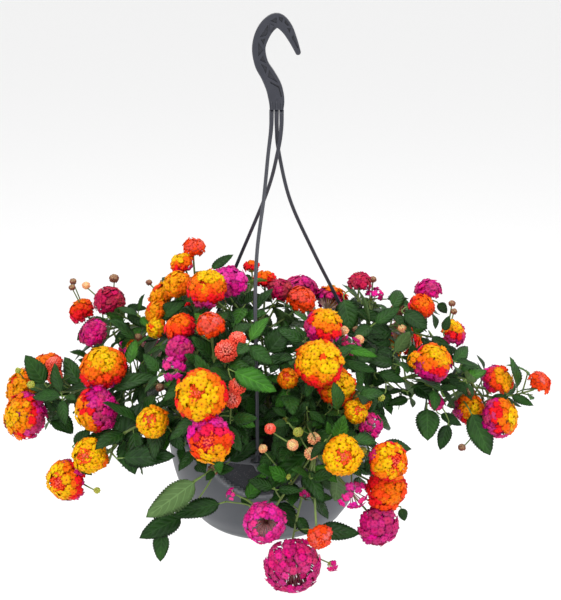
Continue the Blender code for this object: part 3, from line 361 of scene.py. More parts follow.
# leaves that the photo shows whole: column, row and depth of root and of tip, then half width by length
SEEN_LEAVES: dict[Shade, tuple[tuple[float, ...], ...]] = {
    Shade.DARK: (
        (231, 360, -60, 264, 350, -74, 0.22), (221, 503, -168, 173, 515, -184, 0.18),
        (182, 517, -160, 140, 537, -186, 0.22), (122, 458, -140, 173, 455, -158, 0.19),
        (113, 446, -108, 151, 398, -92, 0.19), (106, 319, 10, 77, 339, -12, 0.25),
        (126, 307, 40, 148, 308, 46, 0.16), (127, 313, 30, 146, 327, 20, 0.22),
        (238, 446, -118, 251, 423, -100, 0.28), (229, 462, -142, 264, 438, -128, 0.17),
        (302, 488, -160, 318, 471, -166, 0.24), (279, 502, -146, 297, 529, -160, 0.26),
        (317, 530, -176, 359, 533, -188, 0.20), (393, 331, 14, 358, 333, -6, 0.22),
        (392, 345, 4, 366, 336, -8, 0.20), (392, 350, -10, 374, 363, -26, 0.34),
        (404, 313, 8, 427, 328, -12, 0.30), (432, 335, 0, 455, 364, -18, 0.18),
        (444, 331, -8, 449, 316, -6, 0.26), (438, 303, 44, 447, 313, 36, 0.34),
        (414, 384, -30, 435, 399, -48, 0.30), (448, 378, -30, 468, 392, -36, 0.22),
        (448, 424, -40, 440, 450, -52, 0.24), (440, 414, -30, 462, 425, -38, 0.20),
        (491, 399, -10, 508, 396, -12, 0.22), (385, 393, -60, 379, 409, -72, 0.30),
        (357, 418, -96, 378, 397, -84, 0.26), (330, 410, -100, 353, 434, -120, 0.32),
        (171, 431, -136, 183, 450, -150, 0.30), (52, 402, -36, 68, 408, -44, 0.24),
        (74, 445, -100, 90, 430, -96, 0.28), (300, 431, -112, 317, 438, -130, 0.28),
    ),
    Shade.MID: (
        (294, 356, -70, 258, 363, -92, 0.14), (162, 530, -166, 160, 562, -178, 0.24),
        (45, 384, -30, 26, 356, -36, 0.26), (126, 330, 16, 115, 344, 4, 0.24),
        (156, 318, -4, 185, 301, -14, 0.20), (211, 269, 20, 233, 254, 26, 0.17),
        (275, 453, -146, 260, 467, -160, 0.32), (273, 498, -148, 293, 489, -156, 0.26),
        (297, 517, -168, 309, 535, -178, 0.26), (287, 406, -96, 306, 420, -112, 0.24),
        (342, 362, -74, 376, 371, -80, 0.16), (378, 373, -40, 405, 381, -52, 0.20),
        (427, 408, -40, 428, 440, -62, 0.34), (471, 413, -26, 491, 455, -46, 0.26),
        (511, 396, -4, 534, 405, -10, 0.18), (77, 463, -120, 92, 475, -128, 0.22),
        (216, 471, -158, 233, 468, -166, 0.26), (214, 471, -158, 206, 480, -168, 0.30),
        (241, 498, -160, 251, 506, -166, 0.26), (401, 508, -150, 405, 521, -156, 0.34),
        (324, 399, -90, 334, 420, -106, 0.24),
    ),
    Shade.DULL: (
        (205, 371, -100, 226, 377, -122, 0.40), (268, 353, -30, 288, 326, -20, 0.34),
        (288, 341, -24, 306, 333, -30, 0.40), (109, 388, -70, 156, 374, -60, 0.17),
        (279, 434, -132, 294, 477, -160, 0.27), (344, 299, 20, 351, 331, 4, 0.34),
        (352, 311, 30, 391, 321, 22, 0.14), (386, 299, 54, 409, 298, 56, 0.10),
    ),
    Shade.BRIGHT: (
        (233, 371, -158, 276, 390, -176, 0.22), (232, 417, -150, 255, 426, -162, 0.24),
        (288, 479, -168, 264, 468, -174, 0.26), (247, 499, -152, 265, 473, -160, 0.20),
        (289, 391, -100, 276, 409, -114, 0.28), (342, 347, -70, 378, 356, -78, 0.14),
        (216, 471, -158, 222, 462, -168, 0.30),
    ),
    Shade.PALE: (
        (196, 481, -176, 147, 518, -196, 0.21), (395, 352, -18, 411, 331, -26, 0.24),
    ),
}


@dataclass(frozen=True)
class Sprig:
    """Small head that the photo shows beside the frame's own.

    Args:
        place: Image column, image row and depth of its middle.
        radius: Its radius in millimetres.
        look: Its look.
        facing: The way it faces.
    """

    place: Point
    radius: float
    look: Look
    facing: Point = (0.0, -0.5, 0.9)


SPRIGS = (
    Sprig((270, 428, -168), 6.2, CORAL_BUDS), Sprig((314, 438, -162), 7.4, CREAM_BUDS),
    Sprig((311, 453, -166), 7.6, CREAM_BUDS), Sprig((263, 448, -160), 5.0, CREAM_BUDS),
    Sprig((285, 420, -118), 3.6, GREEN_BUDS), Sprig((290, 477, -170), 4.0, GREEN_BUDS),
    Sprig((160, 387, -96), 5.0, SPENT_BUDS), Sprig((73, 281, 52), 4.2, SPENT_BUDS),
    Sprig((72, 287, 44), 4.0, SPENT_BUDS), Sprig((86, 285, 46), 5.0, CREAM_BUDS),
    Sprig((114, 278, 60), 6.0, SPENT_BUDS), Sprig((149, 282, 50), 3.8, SPENT_BUDS),
    Sprig((163, 282, 44), 4.0, SPENT_BUDS), Sprig((169, 283, 40), 4.6, SPENT_BUDS),
    Sprig((138, 337, 10), 5.2, SPENT_BUDS), Sprig((97, 340, 0), 5.0, GREEN_BUDS),
    Sprig((31, 384, -40), 4.6, GREEN_BUDS), Sprig((18, 370, -10), 3.6, GREEN_BUDS),
    Sprig((373, 279, 60), 4.4, SPENT_BUDS), Sprig((452, 303, 30), 4.2, SPENT_BUDS),
    Sprig((454, 311, 26), 4.0, SPENT_BUDS), Sprig((344, 330, -60), 5.6, CREAM_BUDS),
    Sprig((359, 339, -40), 6.0, CREAM_BUDS), Sprig((402, 328, 0), 5.0, CREAM_BUDS),
    Sprig((356, 329, 4), 4.2, SPENT_BUDS), Sprig((398, 309, 36), 9.0, SPENT_BUDS),
    Sprig((470, 391, -16), 6.0, SPENT_BUDS), Sprig((462, 447, -44), 4.6, SPENT_BUDS),
    Sprig((363, 450, -170), 4.6, GREEN_BUDS), Sprig((381, 397, -80), 4.4, GREEN_BUDS),
    Sprig((97, 490, -140), 3.8, GREEN_BUDS),
    Sprig((232, 494, -176), 7.5, Look(Age.PINK, Form.SPARSE, 3.4), (-0.2, -0.9, 0.3)),
    Sprig((306, 493, -176), 6.5, Look(Age.MAGENTA, Form.SPARSE, 3.6), (0.2, -1.0, 0.1)),
    Sprig((363, 401, -110), 11.0, Look(Age.AMBER, Form.BUDDED, 4.0, None, 50.0, 0.6), (0.1, -0.7, 0.7)),
    Sprig((415, 360, -50), 11.0, Look(Age.AMBER, Form.SPARSE, 4.0), (-0.7, -0.5, 0.5)),
    Sprig((133, 346, 10), 10.0, Look(Age.AMBER, Form.DOME, 3.6, None, 0.0, 0.6), (-0.4, -0.4, 0.8)),
    Sprig((333, 566, -214), 8.0, Look(Age.MAGENTA, Form.SPARSE, 3.8), (0.7, -0.6, -0.3)),
)


# mesh helpers
@dataclass
class Skin:
    """Triangles of one piece in millimetres, gathered from many small closed shapes."""

    points: list[np.ndarray] = field(default_factory=list)
    faces: list[np.ndarray] = field(default_factory=list)
    tints: list[np.ndarray] = field(default_factory=list)
    maps: list[np.ndarray] = field(default_factory=list)
    slots: list[np.ndarray] = field(default_factory=list)
    count: int = 0

    def add(self, points: np.ndarray, faces: np.ndarray, tint: np.ndarray | Colour = (1.0, 1.0, 1.0),
            chart: np.ndarray | None = None, slot: np.ndarray | int = 0) -> None:
        """Add a shape.

        Args:
            points: Its corners.
            faces: Its triangles.
            tint: One colour, or one for each corner.
            chart: A map position for each corner.
            slot: Material slot, one or one for each triangle.
        """
        points = np.asarray(points, float)
        faces = np.asarray(faces, int)
        tint = np.asarray(tint, float)
        self.points.append(points)
        self.faces.append(faces + self.count)
        self.tints.append(np.tile(tint, (len(points), 1)) if tint.ndim == 1 else tint)
        self.maps.append(np.zeros((len(points), 2)) if chart is None else chart)
        self.slots.append(np.full(len(faces), slot) if np.isscalar(slot) else slot)
        self.count += len(points)

    def build(self, name: str, slots: tuple[str, ...]) -> bpy.types.Object:
        """Make the object.

        Args:
            name: Its name.
            slots: Names of its materials in slot order.

        Returns:
            The object, in the scene.
        """
        points = np.concatenate(self.points) * MM
        faces = np.concatenate(self.faces)
        mesh = bpy.data.meshes.new(name)
        mesh.vertices.add(len(points))
        mesh.vertices.foreach_set("co", points.ravel())
        mesh.loops.add(faces.size)
        mesh.loops.foreach_set("vertex_index", faces.ravel())
        mesh.polygons.add(len(faces))
        mesh.polygons.foreach_set("loop_start", np.arange(0, faces.size, 3))
        mesh.polygons.foreach_set("material_index", np.concatenate(self.slots).astype(int))
        mesh.update(calc_edges=True)
        mesh.polygons.foreach_set("use_smooth", np.full(len(faces), True))
        tint = mesh.color_attributes.new("tint", "FLOAT_COLOR", "POINT")
        rgba = np.ones((len(points), 4))
        rgba[:, :3] = np.concatenate(self.tints)
        tint.data.foreach_set("color", rgba.ravel())
        chart = mesh.uv_layers.new(name="blade")
        chart.data.foreach_set("uv", np.concatenate(self.maps)[faces.ravel()].ravel())
        for slot in slots:
            mesh.materials.append(MATERIALS[slot])
        obj = bpy.data.objects.new(name, mesh)
        bpy.context.scene.collection.objects.link(obj)
        return obj


def rows_of(points: list[Vector]) -> np.ndarray:
    """Vectors as the rows of an array."""
    return np.array([tuple(p) for p in points])


def band(low: int, high: int, count: int) -> list[tuple[int, int, int]]:
    """Triangles between two rings of corners.

    Args:
        low: First corner of one ring.
        high: First corner of the other.
        count: Corners of a ring.

    Returns:
        The triangles.
    """
    pairs = [(k, (k + 1) % count) for k in range(count)]
    return [face for k, after in pairs
            for face in ((low + k, low + after, high + after), (low + k, high + after, high + k))]


def add_sweep(skin: Skin, path: list[Vector], radii: list[float], sides: int = 8,
              tints: list[Colour] | None = None,
              section: Pairs | None = None, slot: int = 0,
              first_side: Vector | None = None) -> None:
    """Sweep a closed section along a path, with a fan at each end.

    Args:
        skin: Where it goes.
        path: Its centre line.
        radii: Size at each point of the path.
        sides: Corners of a round section.
        tints: Colour at each point of the path.
        section: Corners of another section, for a size of 1.
        slot: Its material slot.
        first_side: Direction that the section's first axis keeps to.
    """
    if section is None:
        turns = [2 * math.pi * k / sides for k in range(sides)]
        section = tuple((math.cos(turn), math.sin(turn)) for turn in turns)
    sides = len(section)
    points: list[Vector] = []
    side = first_side
    for i, here in enumerate(path):
        along = (path[min(i + 1, len(path) - 1)] - path[max(i - 1, 0)]).normalized()
        if side is None:
            side = along.orthogonal()
        side = (side - along * side.dot(along)).normalized()
        up = along.cross(side)
        points += [here + (side * a + up * b) * radii[i] for a, b in section]
    faces = []
    for i in range(len(path) - 1):
        faces += band(i * sides, (i + 1) * sides, sides)
    start, end = len(points), len(points) + 1
    points += [path[0], path[-1]]
    last = (len(path) - 1) * sides
    for k in range(sides):
        faces.append((start, (k + 1) % sides, k))
        faces.append((end, last + k, last + (k + 1) % sides))
    tint: np.ndarray | Colour = (1.0, 1.0, 1.0)
    if tints is not None:
        tint = np.concatenate([np.repeat(np.array(tints), sides, axis=0), [tints[0], tints[-1]]])
    skin.add(rows_of(points), faces, tint, None, slot)


def add_turned(skin: Skin, centre: Vector, profile: Pairs, sides: int = 16,
               tint: Colour = (1.0, 1.0, 1.0), slot: int = 0, axis: Vector = Vector((0, 0, 1))) -> None:
    """Turned solid from (height, radius) pairs along an axis.

    Args:
        skin: Where it goes.
        centre: Origin of the heights.
        profile: Pairs from one end to the other.
        sides: Number of sides.
        tint: Its colour.
        slot: Its material slot.
        axis: Its axis.
    """
    path = [centre + axis * height for height, _ in profile]
    add_sweep(skin, path, [radius for _, radius in profile], sides, [tint] * len(path), None, slot)


def smooth_path(points: list[Point], step: float) -> list[Vector]:
    """Catmull-Rom curve through points.

    Args:
        points: The way points.
        step: Rough distance between the curve's points.

    Returns:
        The curve's points.
    """
    points = [Vector(p) for p in points]
    padded = [points[0] * 2 - points[1]] + points + [points[-1] * 2 - points[-2]]
    path = []
    for a, b, c, d in zip(padded, padded[1:], padded[2:], padded[3:]):
        count = max(1, round((c - b).length / step))
        for k in range(count):
            t = k / count
            path.append(0.5 * (2 * b + (c - a) * t + (2 * a - 5 * b + 4 * c - d) * t * t
                               + (3 * b - a - 3 * c + d) * t ** 3))
    path.append(points[-1])
    return path


def along_path(path: list[Vector], step: float) -> list[Vector]:
    """Points along the straight pieces of a path, about a step apart.

    Args:
        path: The path.
        step: Rough distance between the points.

    Returns:
        The points.
    """
    points = []
    for a, b in zip(path, path[1:]):
        count = max(1, round((b - a).length / step))
        points += [a.lerp(b, k / count) for k in range(count)]
    return points + [path[-1]]


def around(azimuth: float, radius: float, height: float) -> Vector:
    """Point at a compass angle in degrees from the front."""
    angle = math.radians(azimuth)
    return Vector((radius * math.sin(angle), -radius * math.cos(angle), height))


def wall_radius(height: float) -> float:
    """Outer radius of the pot's wall at a height.

    Args:
        height: The height.

    Returns:
        The radius.
    """
    for (z0, r0), (z1, r1) in zip(WALL_PROFILE, WALL_PROFILE[1:]):
        if height <= z1:
            return r0 + (r1 - r0) * max(0.0, height - z0) / (z1 - z0)
    return WALL_PROFILE[-1][1]


def leaf_width(s: float) -> float:
    """Half width of a leaf along its length, from 0 at the root to 1 at the widest place.

    Args:
        s: Place along the leaf, as a share of its length.

    Returns:
        The half width, as a share of the widest.
    """
    if s < 0.14:
        return 0.10
    t = (s - 0.14) / 0.86
    return 0.10 + 0.90 * math.sin(math.pi * t ** 0.72) ** 0.85


def settle(obj: bpy.types.Object, node: str) -> None:
    """Hand a finished piece to the frame.

    Args:
        obj: The piece.
        node: The node that it stands for.
    """
    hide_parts(node)
    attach(obj, "root")
    log.info("%s: %d triangles", obj.name, len(obj.data.polygons))


# node groups and finishes
@dataclass
class Graph:
    """A node tree, with short ways to add and join its nodes."""

    tree: Tree

    def add(self, kind: str, inputs: dict, **settings: object) -> bpy.types.Node:
        """Add a node.

        Args:
            kind: Its type, without the word ShaderNode.
            inputs: A number, a colour or another node's output for each input, by name or place.
            settings: Its own settings.

        Returns:
            The node.
        """
        node = self.tree.nodes.new("ShaderNode" + kind)
        for key, value in settings.items():
            setattr(node, key, value)
        for key, value in inputs.items():
            self.feed(node.inputs[key], value)
        return node

    def feed(self, socket: Socket, value: Socket | float | tuple) -> None:
        """Give an input a number, a colour or another node's output.

        Args:
            socket: The input.
            value: What it gets.
        """
        if isinstance(value, Socket):
            self.tree.links.new(value, socket)
        else:
            socket.default_value = value

    def math(self, operation: str, *values: float | Socket) -> Socket:
        """Output of a math node on numbers or outputs."""
        return self.add("Math", dict(enumerate(values)), operation=operation).outputs[0]

    def mix(self, share: float | Socket, low: Socket | tuple, high: Socket | tuple,
            blend: str = "MIX") -> Socket:
        """Output of a colour mix node, whose colours are its seventh and eighth inputs."""
        return self.add("Mix", {0: share, 6: low, 7: high}, data_type="RGBA", blend_type=blend).outputs[2]


def new_group(name: str, inputs: dict[str, float], outputs: tuple[str, ...]) -> tuple[Graph, dict, dict]:
    """Empty shader node group.

    Args:
        name: Its name.
        inputs: Its number inputs with their values.
        outputs: Its number outputs.

    Returns:
        Its graph, its inputs to read from and its outputs to feed.
    """
    group = bpy.data.node_groups.new(name, "ShaderNodeTree")
    for key, value in inputs.items():
        socket = group.interface.new_socket(name=key, in_out="INPUT", socket_type="NodeSocketFloat")
        socket.default_value = value
    for key in outputs:
        group.interface.new_socket(name=key, in_out="OUTPUT", socket_type="NodeSocketFloat")
    return Graph(group), group.nodes.new("NodeGroupInput").outputs, group.nodes.new("NodeGroupOutput").inputs


def grain_group() -> Tree:
    """Two scales of noise in object space: a mask from 0 to 1 and a height.

    Returns:
        The group.
    """
    inputs = {"Coarse Scale": 40.0, "Fine Scale": 600.0}
    graph, start, end = new_group("surface_grain", inputs, ("Mask", "Height"))
    place = graph.add("TexCoord", {}).outputs["Object"]
    for key, detail, out in (("Coarse Scale", 4.0, "Mask"), ("Fine Scale", 3.0, "Height")):
        noise = graph.add("TexNoise", {"Vector": place, "Scale": start[key], "Detail": detail})
        graph.feed(end[out], noise.outputs["Fac"])
    return graph.tree


def speckle_group() -> Tree:
    """Sparse pale specks, as dust and splashes leave.

    Returns:
        The group.
    """
    graph, start, end = new_group("dust_specks", {"Scale": 700.0, "Size": 0.16}, ("Mask",))
    place = graph.add("TexCoord", {}).outputs["Object"]
    cells = graph.add("TexVoronoi", {"Vector": place, "Scale": start["Scale"]})
    thin = graph.add("TexNoise", {"Vector": place, "Scale": 60.0})
    near = graph.math("LESS_THAN", cells.outputs["Distance"], start["Size"])
    some = graph.math("GREATER_THAN", thin.outputs["Fac"], 0.47)
    graph.feed(end["Mask"], graph.math("MULTIPLY", near, some))
    return graph.tree


def vein_group() -> Tree:
    """Midrib, side veins and quilting of a leaf blade, from its own map.

    Returns:
        The group.
    """
    inputs = {"Pairs": 7.0, "Sweep": 2.2, "Line": 0.07}
    graph, start, end = new_group("leaf_veins", inputs, ("Veins", "Height"))
    chart = graph.add("UVMap", {}, uv_map="blade")
    split = graph.add("SeparateXYZ", {0: chart.outputs["UV"]})
    from_middle = graph.math("SUBTRACT", split.outputs[0], 0.5)
    across = graph.math("ABSOLUTE", graph.math("MULTIPLY", from_middle, 2.0))
    rise = graph.math("MULTIPLY", split.outputs[1], start["Pairs"])
    lean = graph.math("MULTIPLY", graph.math("POWER", across, 1.3), start["Sweep"])
    saw = graph.math("PINGPONG", graph.math("SUBTRACT", rise, lean), 0.5)
    side = graph.math("LESS_THAN", saw, start["Line"])
    soft = graph.math("SMOOTH_MIN", graph.math("MULTIPLY", saw, 2.2), 1.0, 0.4)
    rib = graph.math("LESS_THAN", across, 0.055)
    fade = graph.math("SUBTRACT", 1.0, graph.math("MULTIPLY", across, 0.55))
    graph.feed(end["Veins"], graph.math("MAXIMUM", graph.math("MULTIPLY", side, fade), rib))
    valley = graph.math("SMOOTH_MIN", graph.math("MULTIPLY", across, 9.0), 1.0, 0.4)
    graph.feed(end["Height"], graph.math("MULTIPLY", soft, valley))
    return graph.tree


@dataclass(frozen=True)
class Finish:
    """One surface finish.

    Args:
        name: Its name.
        light: Lighter colour.
        dark: Darker colour.
        roughness: Roughness and how far it varies.
        bump: Height of its relief in millimetres.
        coarse: Scale of its blotches, per metre.
        fine: Scale of its grain, per metre.
        tinted: Whether the mesh's own tint multiplies the colour.
        veins: How much a leaf's veins are lighter, or 0 for none.
        specks: Share of its pale specks.
        glow: Light carried under the surface.
        gloss: Strength of its reflections.
    """

    name: str
    light: Colour
    dark: Colour
    roughness: tuple[float, float] = (0.5, 0.1)
    bump: float = 0.1
    coarse: float = 40.0
    fine: float = 600.0
    tinted: bool = False
    veins: float = 0.0
    specks: float = 0.0
    glow: float = 0.0
    gloss: float = 0.5

    def material(self, groups: dict[str, Tree]) -> bpy.types.Material:
        """Make the material.

        Args:
            groups: The shared node groups.

        Returns:
            The material.
        """
        material = bpy.data.materials.new(self.name)
        material.use_nodes = True
        graph = Graph(material.node_tree)
        shader = graph.tree.nodes["Principled BSDF"]
        scales = {"Coarse Scale": self.coarse, "Fine Scale": self.fine}
        grain = graph.add("Group", scales, node_tree=groups["grain"])
        mask, height = grain.outputs["Mask"], grain.outputs["Height"]
        ramp = graph.add("MapRange", {"Value": mask, "From Min": 0.32, "From Max": 0.68})
        colour = graph.mix(ramp.outputs["Result"], (*self.dark, 1.0), (*self.light, 1.0))
        if self.veins:
            veins = graph.add("Group", {}, node_tree=groups["veins"]).outputs
            paler = (*(min(1.0, c * 2.6 + 0.02) for c in self.light), 1.0)
            colour = graph.mix(graph.math("MULTIPLY", veins["Veins"], self.veins), colour, paler)
            height = graph.math("ADD", graph.math("MULTIPLY", veins["Height"], 1.0),
                                graph.math("MULTIPLY", height, 0.55))
        if self.tinted:
            tint = graph.add("Attribute", {}, attribute_name="tint")
            colour = graph.mix(1.0, colour, tint.outputs["Color"], "MULTIPLY")
        if self.specks:
            dust = graph.add("Group", {}, node_tree=groups["specks"])
            share = graph.math("MULTIPLY", dust.outputs["Mask"], self.specks)
            colour = graph.mix(share, colour, DUST_COLOUR)
        low, spread = self.roughness
        rough = graph.add("MapRange", {"Value": mask, "To Min": low - spread / 2, "To Max": low + spread / 2})
        bump = graph.add("Bump", {"Distance": self.bump * MM, "Height": height})
        surface = {"Base Color": colour, "Roughness": rough.outputs["Result"],
                   "Normal": bump.outputs["Normal"], "Specular IOR Level": self.gloss}
        if self.glow:
            surface |= {"Subsurface Weight": self.glow, "Subsurface Scale": 0.002,
                        "Subsurface Radius": (1.0, 0.5, 0.4)}
        for key, value in surface.items():
            graph.feed(shader.inputs[key], value)
        return material


DUST_COLOUR = (0.36, 0.37, 0.40, 1.0)
FINISHES = (
    Finish("pot_plastic", (0.070, 0.076, 0.088), (0.056, 0.061, 0.072), (0.44, 0.10), 0.05, 18.0, 900.0,
           specks=0.10, gloss=0.4),
    # next finish: the same plastic darkened as painted shade inside the bays' recess, with real dust specks
    Finish("bay_painted_shade_and_dust", (0.016, 0.017, 0.024), (0.010, 0.010, 0.015), (0.55, 0.10), 0.10, 30.0, 700.0,
           specks=0.45, gloss=0.25),
    # next finish: the same plastic made lighter as a painted highlight on the raised lip round each bay
    Finish("bay_lip_painted_highlight", (0.150, 0.156, 0.172), (0.125, 0.130, 0.146), (0.38, 0.10), 0.05, 18.0, 900.0,
           gloss=0.4),
    Finish("hanger_plastic", (0.030, 0.032, 0.045), (0.023, 0.025, 0.036), (0.36, 0.10), 0.04, 60.0, 1200.0),
    Finish("soil", (0.042, 0.026, 0.016), (0.014, 0.008, 0.005), (0.92, 0.08), 1.2, 90.0, 500.0, tinted=True),
    Finish("stem_green", (0.17, 0.23, 0.055), (0.11, 0.17, 0.040), (0.55, 0.10), 0.12, 80.0, 900.0,
           tinted=True),
    Finish("leaf_top", (0.020, 0.080, 0.008), (0.009, 0.040, 0.005), (0.38, 0.12), 0.50, 60.0, 1100.0,
           tinted=True, veins=0.20, gloss=0.20),
    Finish("leaf_under", (0.090, 0.165, 0.050), (0.070, 0.135, 0.038), (0.62, 0.10), 0.30, 60.0, 1100.0,
           tinted=True, veins=0.22, gloss=0.2),
    Finish("petal", (1.0, 1.0, 1.0), (0.90, 0.90, 0.90), (0.60, 0.10), 0.10, 260.0, 1500.0, tinted=True,
           glow=0.15, gloss=0.12),
)


# hard pieces
@dataclass
class Bowl:
    """Moulded hanging bowl with a rolled lip, three scalloped bays and three lugs."""

    steps: int = 360
    bay_radius: float = 72.0
    bay_centre: float = 150.0
    bay_depth: float = 1.2
    bay_lip: float = 2.4
    lip_width: float = 4.0
    slots: tuple[str, ...] = ("pot_plastic", "bay_painted_shade_and_dust", "bay_lip_painted_highlight")

    def bay_offset(self, azimuth: float, radius: float, height: float) -> tuple[float, bool]:
        """How far a bay's recess and lip move the wall.

        Args:
            azimuth: Compass angle in radians.
            radius: Radius of the plain wall.
            height: Height.

        Returns:
            The move outward, and whether the place is inside a bay.
        """
        if height > POT_HEIGHT - LIP_HEIGHT:
            return 0.0, False
        for centre in LUG_AZIMUTHS.values():
            turn = (azimuth - math.radians(centre) + math.pi) % (2 * math.pi) - math.pi
            if abs(turn) > 1.2:
                continue
            reach = math.hypot(radius * math.sin(turn), height - self.bay_centre)
            inner = self.bay_radius - self.lip_width
            if reach < inner - 1.6:
                return -self.bay_depth, True
            if reach < inner:
                t = (reach - inner + 1.6) / 1.6
                return -self.bay_depth + (self.bay_depth + self.bay_lip * 0.8) * t * t * (3 - 2 * t), t < 0.5
            if reach < self.bay_radius:
                t = (reach - inner) / self.lip_width
                depth = 1 if t < 0.5 else 0.3
                return self.bay_lip * (0.8 - 0.28 * math.sin(math.pi * 2 * t) ** 2 * depth), False
            if reach < self.bay_radius + 2.2:
                t = (reach - self.bay_radius) / 2.2
                return self.bay_lip * 0.8 * (1 - t * t * (3 - 2 * t)), False
        return 0.0, False

    def rings(self) -> list[tuple[float, float, bool]]:
        """Height, radius and whether the bays shape it, for each ring from the base's middle inward.

        Returns:
            The rings.
        """
        line = smooth_path([(r, 0.0, z) for z, r in WALL_PROFILE[2:]], 2.0)
        base = ((0.0, 0.01), (0.0, 40.0), (0.0, 64.0), (0.25, 65.6), (1.2, 68.4), (2.6, 73.2), (4.0, 77.6),
                (6.4, 81.8), (10.0, 86.2))
        lip = ((120.8, 122.9), (121.0, 124.2), (121.05, 125.4), (121.5, 126.4), (122.6, 127.0),
               (126.0, 127.0), (129.6, 127.0), (131.2, 126.5), (131.9, 125.4), (POT_HEIGHT, 124.0),
               (POT_HEIGHT, 122.6), (131.7, 121.3), (130.8, 120.3), (128.0, 119.9))
        inside = ((120.0, 119.9), (110.0, 118.4), (74.0, 112.9), (36.0, 100.9), (14.0, 87.4), (WALL, 70.0),
                  (WALL, 0.01))
        return ([(z, r, False) for z, r in base] + [(p.z, p.x, True) for p in line]
                + [(z, r, False) for z, r in lip + inside])

    def build(self) -> None:
        """Build and dress the bowl."""
        skin = Skin()
        rings = self.rings()
        points = np.zeros((len(rings), self.steps, 3))
        zone = np.zeros((len(rings), self.steps), int)
        for i, (height, radius, shaped) in enumerate(rings):
            for k in range(self.steps):
                angle = 2 * math.pi * k / self.steps
                move, bay = self.bay_offset(angle, radius, height) if shaped else (0.0, False)
                points[i, k] = ((radius + move) * math.sin(angle), -(radius + move) * math.cos(angle), height)
                # zone 1, inside a bay, takes the finish with painted shade and dust; zone 2, the raised lip round
                # a bay, takes the finish with a painted highlight
                zone[i, k] = 1 if bay else 2 if move > self.bay_lip * 0.5 else 0
        faces = []
        for i in range(len(rings) - 1):
            faces += band(i * self.steps, (i + 1) * self.steps, self.steps)
        here = zone[:-1]
        inner = (here == zone[1:]) & (here == np.roll(here, -1, axis=1))
        skin.add(points.reshape(-1, 3), faces, slot=np.where(inner, here, 0).ravel().repeat(2))
        for azimuth in LUG_AZIMUTHS.values():
            self.add_lug(skin, azimuth)
        settle(skin.build("bowl_dressed", self.slots), "pot")

    def add_lug(self, skin: Skin, azimuth: float) -> None:
        """Add a rounded lug with a hole for a strand's clip.

        Args:
            skin: The bowl's skin.
            azimuth: Compass angle in degrees.
        """
        out = around(azimuth, 1.0, 0.0)
        side = Vector((0.0, 0.0, 1.0)).cross(out)
        count = 32
        outer, inner = [], []
        for k in range(count):
            angle = 2 * math.pi * k / count
            c, s = math.cos(angle), math.sin(angle)
            across, forth = s * 8.0, c * 6.0 if c > 0 else c * 8.6
            if c < 0:
                across = math.copysign(min(abs(s) * 9.0 + 2.0 * -c, 8.0), s) if s else 0.0
            outer.append((across, forth))
            inner.append((s * LUG_HOLE, c * LUG_HOLE))
        loops = [(inner, 0.0, 1.0), (inner, LUG_THICK, 1.0), (outer, LUG_THICK, 0.93),
                 (outer, LUG_THICK - 0.6, 1.0), (outer, 0.6, 1.0), (outer, 0.0, 0.93)]
        points = []
        for loop, height, size in loops:
            level = Vector((0, 0, LUG_LEVEL + height))
            points += [out * (LUG_RADIUS + forth * size) + side * across * size + level for across, forth in loop]
        faces = []
        for i in range(len(loops)):
            faces += band(i * count, (i + 1) % len(loops) * count, count)
        skin.add(rows_of(points), faces)


@dataclass
class SoilBed:
    """Dark potting soil with crumbs."""

    rings: int = 40
    spokes: int = 96
    crumbs: int = 420
    radius: float = 117.5
    below: Pairs = ((111.6, 74.0), (99.8, 36.0), (87.0, 16.0), (69.0, 2.9))

    def height(self, x: float, y: float) -> float:
        """Height of the soil's surface, from a few crossing waves."""
        long_wave = 0.7 * math.sin(x * 0.11 + 1.3) * math.sin(y * 0.09)
        return SOIL_TOP + 0.4 + long_wave + 0.5 * math.sin(x * 0.31 + y * 0.23)

    def build(self) -> None:
        """Build and dress the soil."""
        rng = np.random.default_rng(11)
        skin = Skin()
        points = [(0.0, 0.0, self.height(0, 0))]
        for i in range(1, self.rings + 1):
            radius = self.radius * i / self.rings
            for k in range(self.spokes):
                angle = 2 * math.pi * k / self.spokes
                x, y = radius * math.sin(angle), -radius * math.cos(angle)
                fall = 1.2 if i == self.rings else 0.0
                points.append((x, y, self.height(x, y) + rng.normal(0, 0.35) - fall))
        for radius, height in ((self.radius - 0.8, 90.0), *self.below):
            for k in range(self.spokes):
                angle = 2 * math.pi * k / self.spokes
                points.append((radius * math.sin(angle), -radius * math.cos(angle), height))
        points.append((0.0, 0.0, 2.9))
        faces = [(0, 1 + k, 1 + (k + 1) % self.spokes) for k in range(self.spokes)]
        loops = self.rings + 5
        for i in range(loops - 1):
            low = 1 + i * self.spokes
            faces += [face[::-1] for face in band(low, low + self.spokes, self.spokes)]
        last = 1 + (loops - 1) * self.spokes
        faces += [(last + k, len(points) - 1, last + (k + 1) % self.spokes) for k in range(self.spokes)]
        shade = rng.uniform(0.7, 1.25, (len(points), 1)) * np.ones((1, 3))
        skin.add(np.array(points), faces, shade)
        ball = unit_ball(1)
        for _ in range(self.crumbs):
            angle, radius = rng.uniform(0, 2 * math.pi), 114.0 * math.sqrt(rng.uniform(0, 1))
            x, y = radius * math.sin(angle), -radius * math.cos(angle)
            size = rng.uniform(0.7, 2.6) * np.array([1.0, rng.uniform(0.6, 1.0), rng.uniform(0.45, 0.8)])
            lumps = ball[0] * size * rng.uniform(0.8, 1.15, (len(ball[0]), 1))
            spin = np.array(Matrix.Rotation(rng.uniform(0, 6.3), 3, "Z"))
            tone = rng.choice([0.55, 0.8, 1.1, 1.9], p=[0.3, 0.35, 0.27, 0.08])
            skin.add(lumps @ spin.T + (x, y, self.height(x, y) + size[2] * 0.35), ball[1],
                     (tone, tone * 0.97, tone * 0.92))
        settle(skin.build("soil_dressed", ("soil",)), "soil")


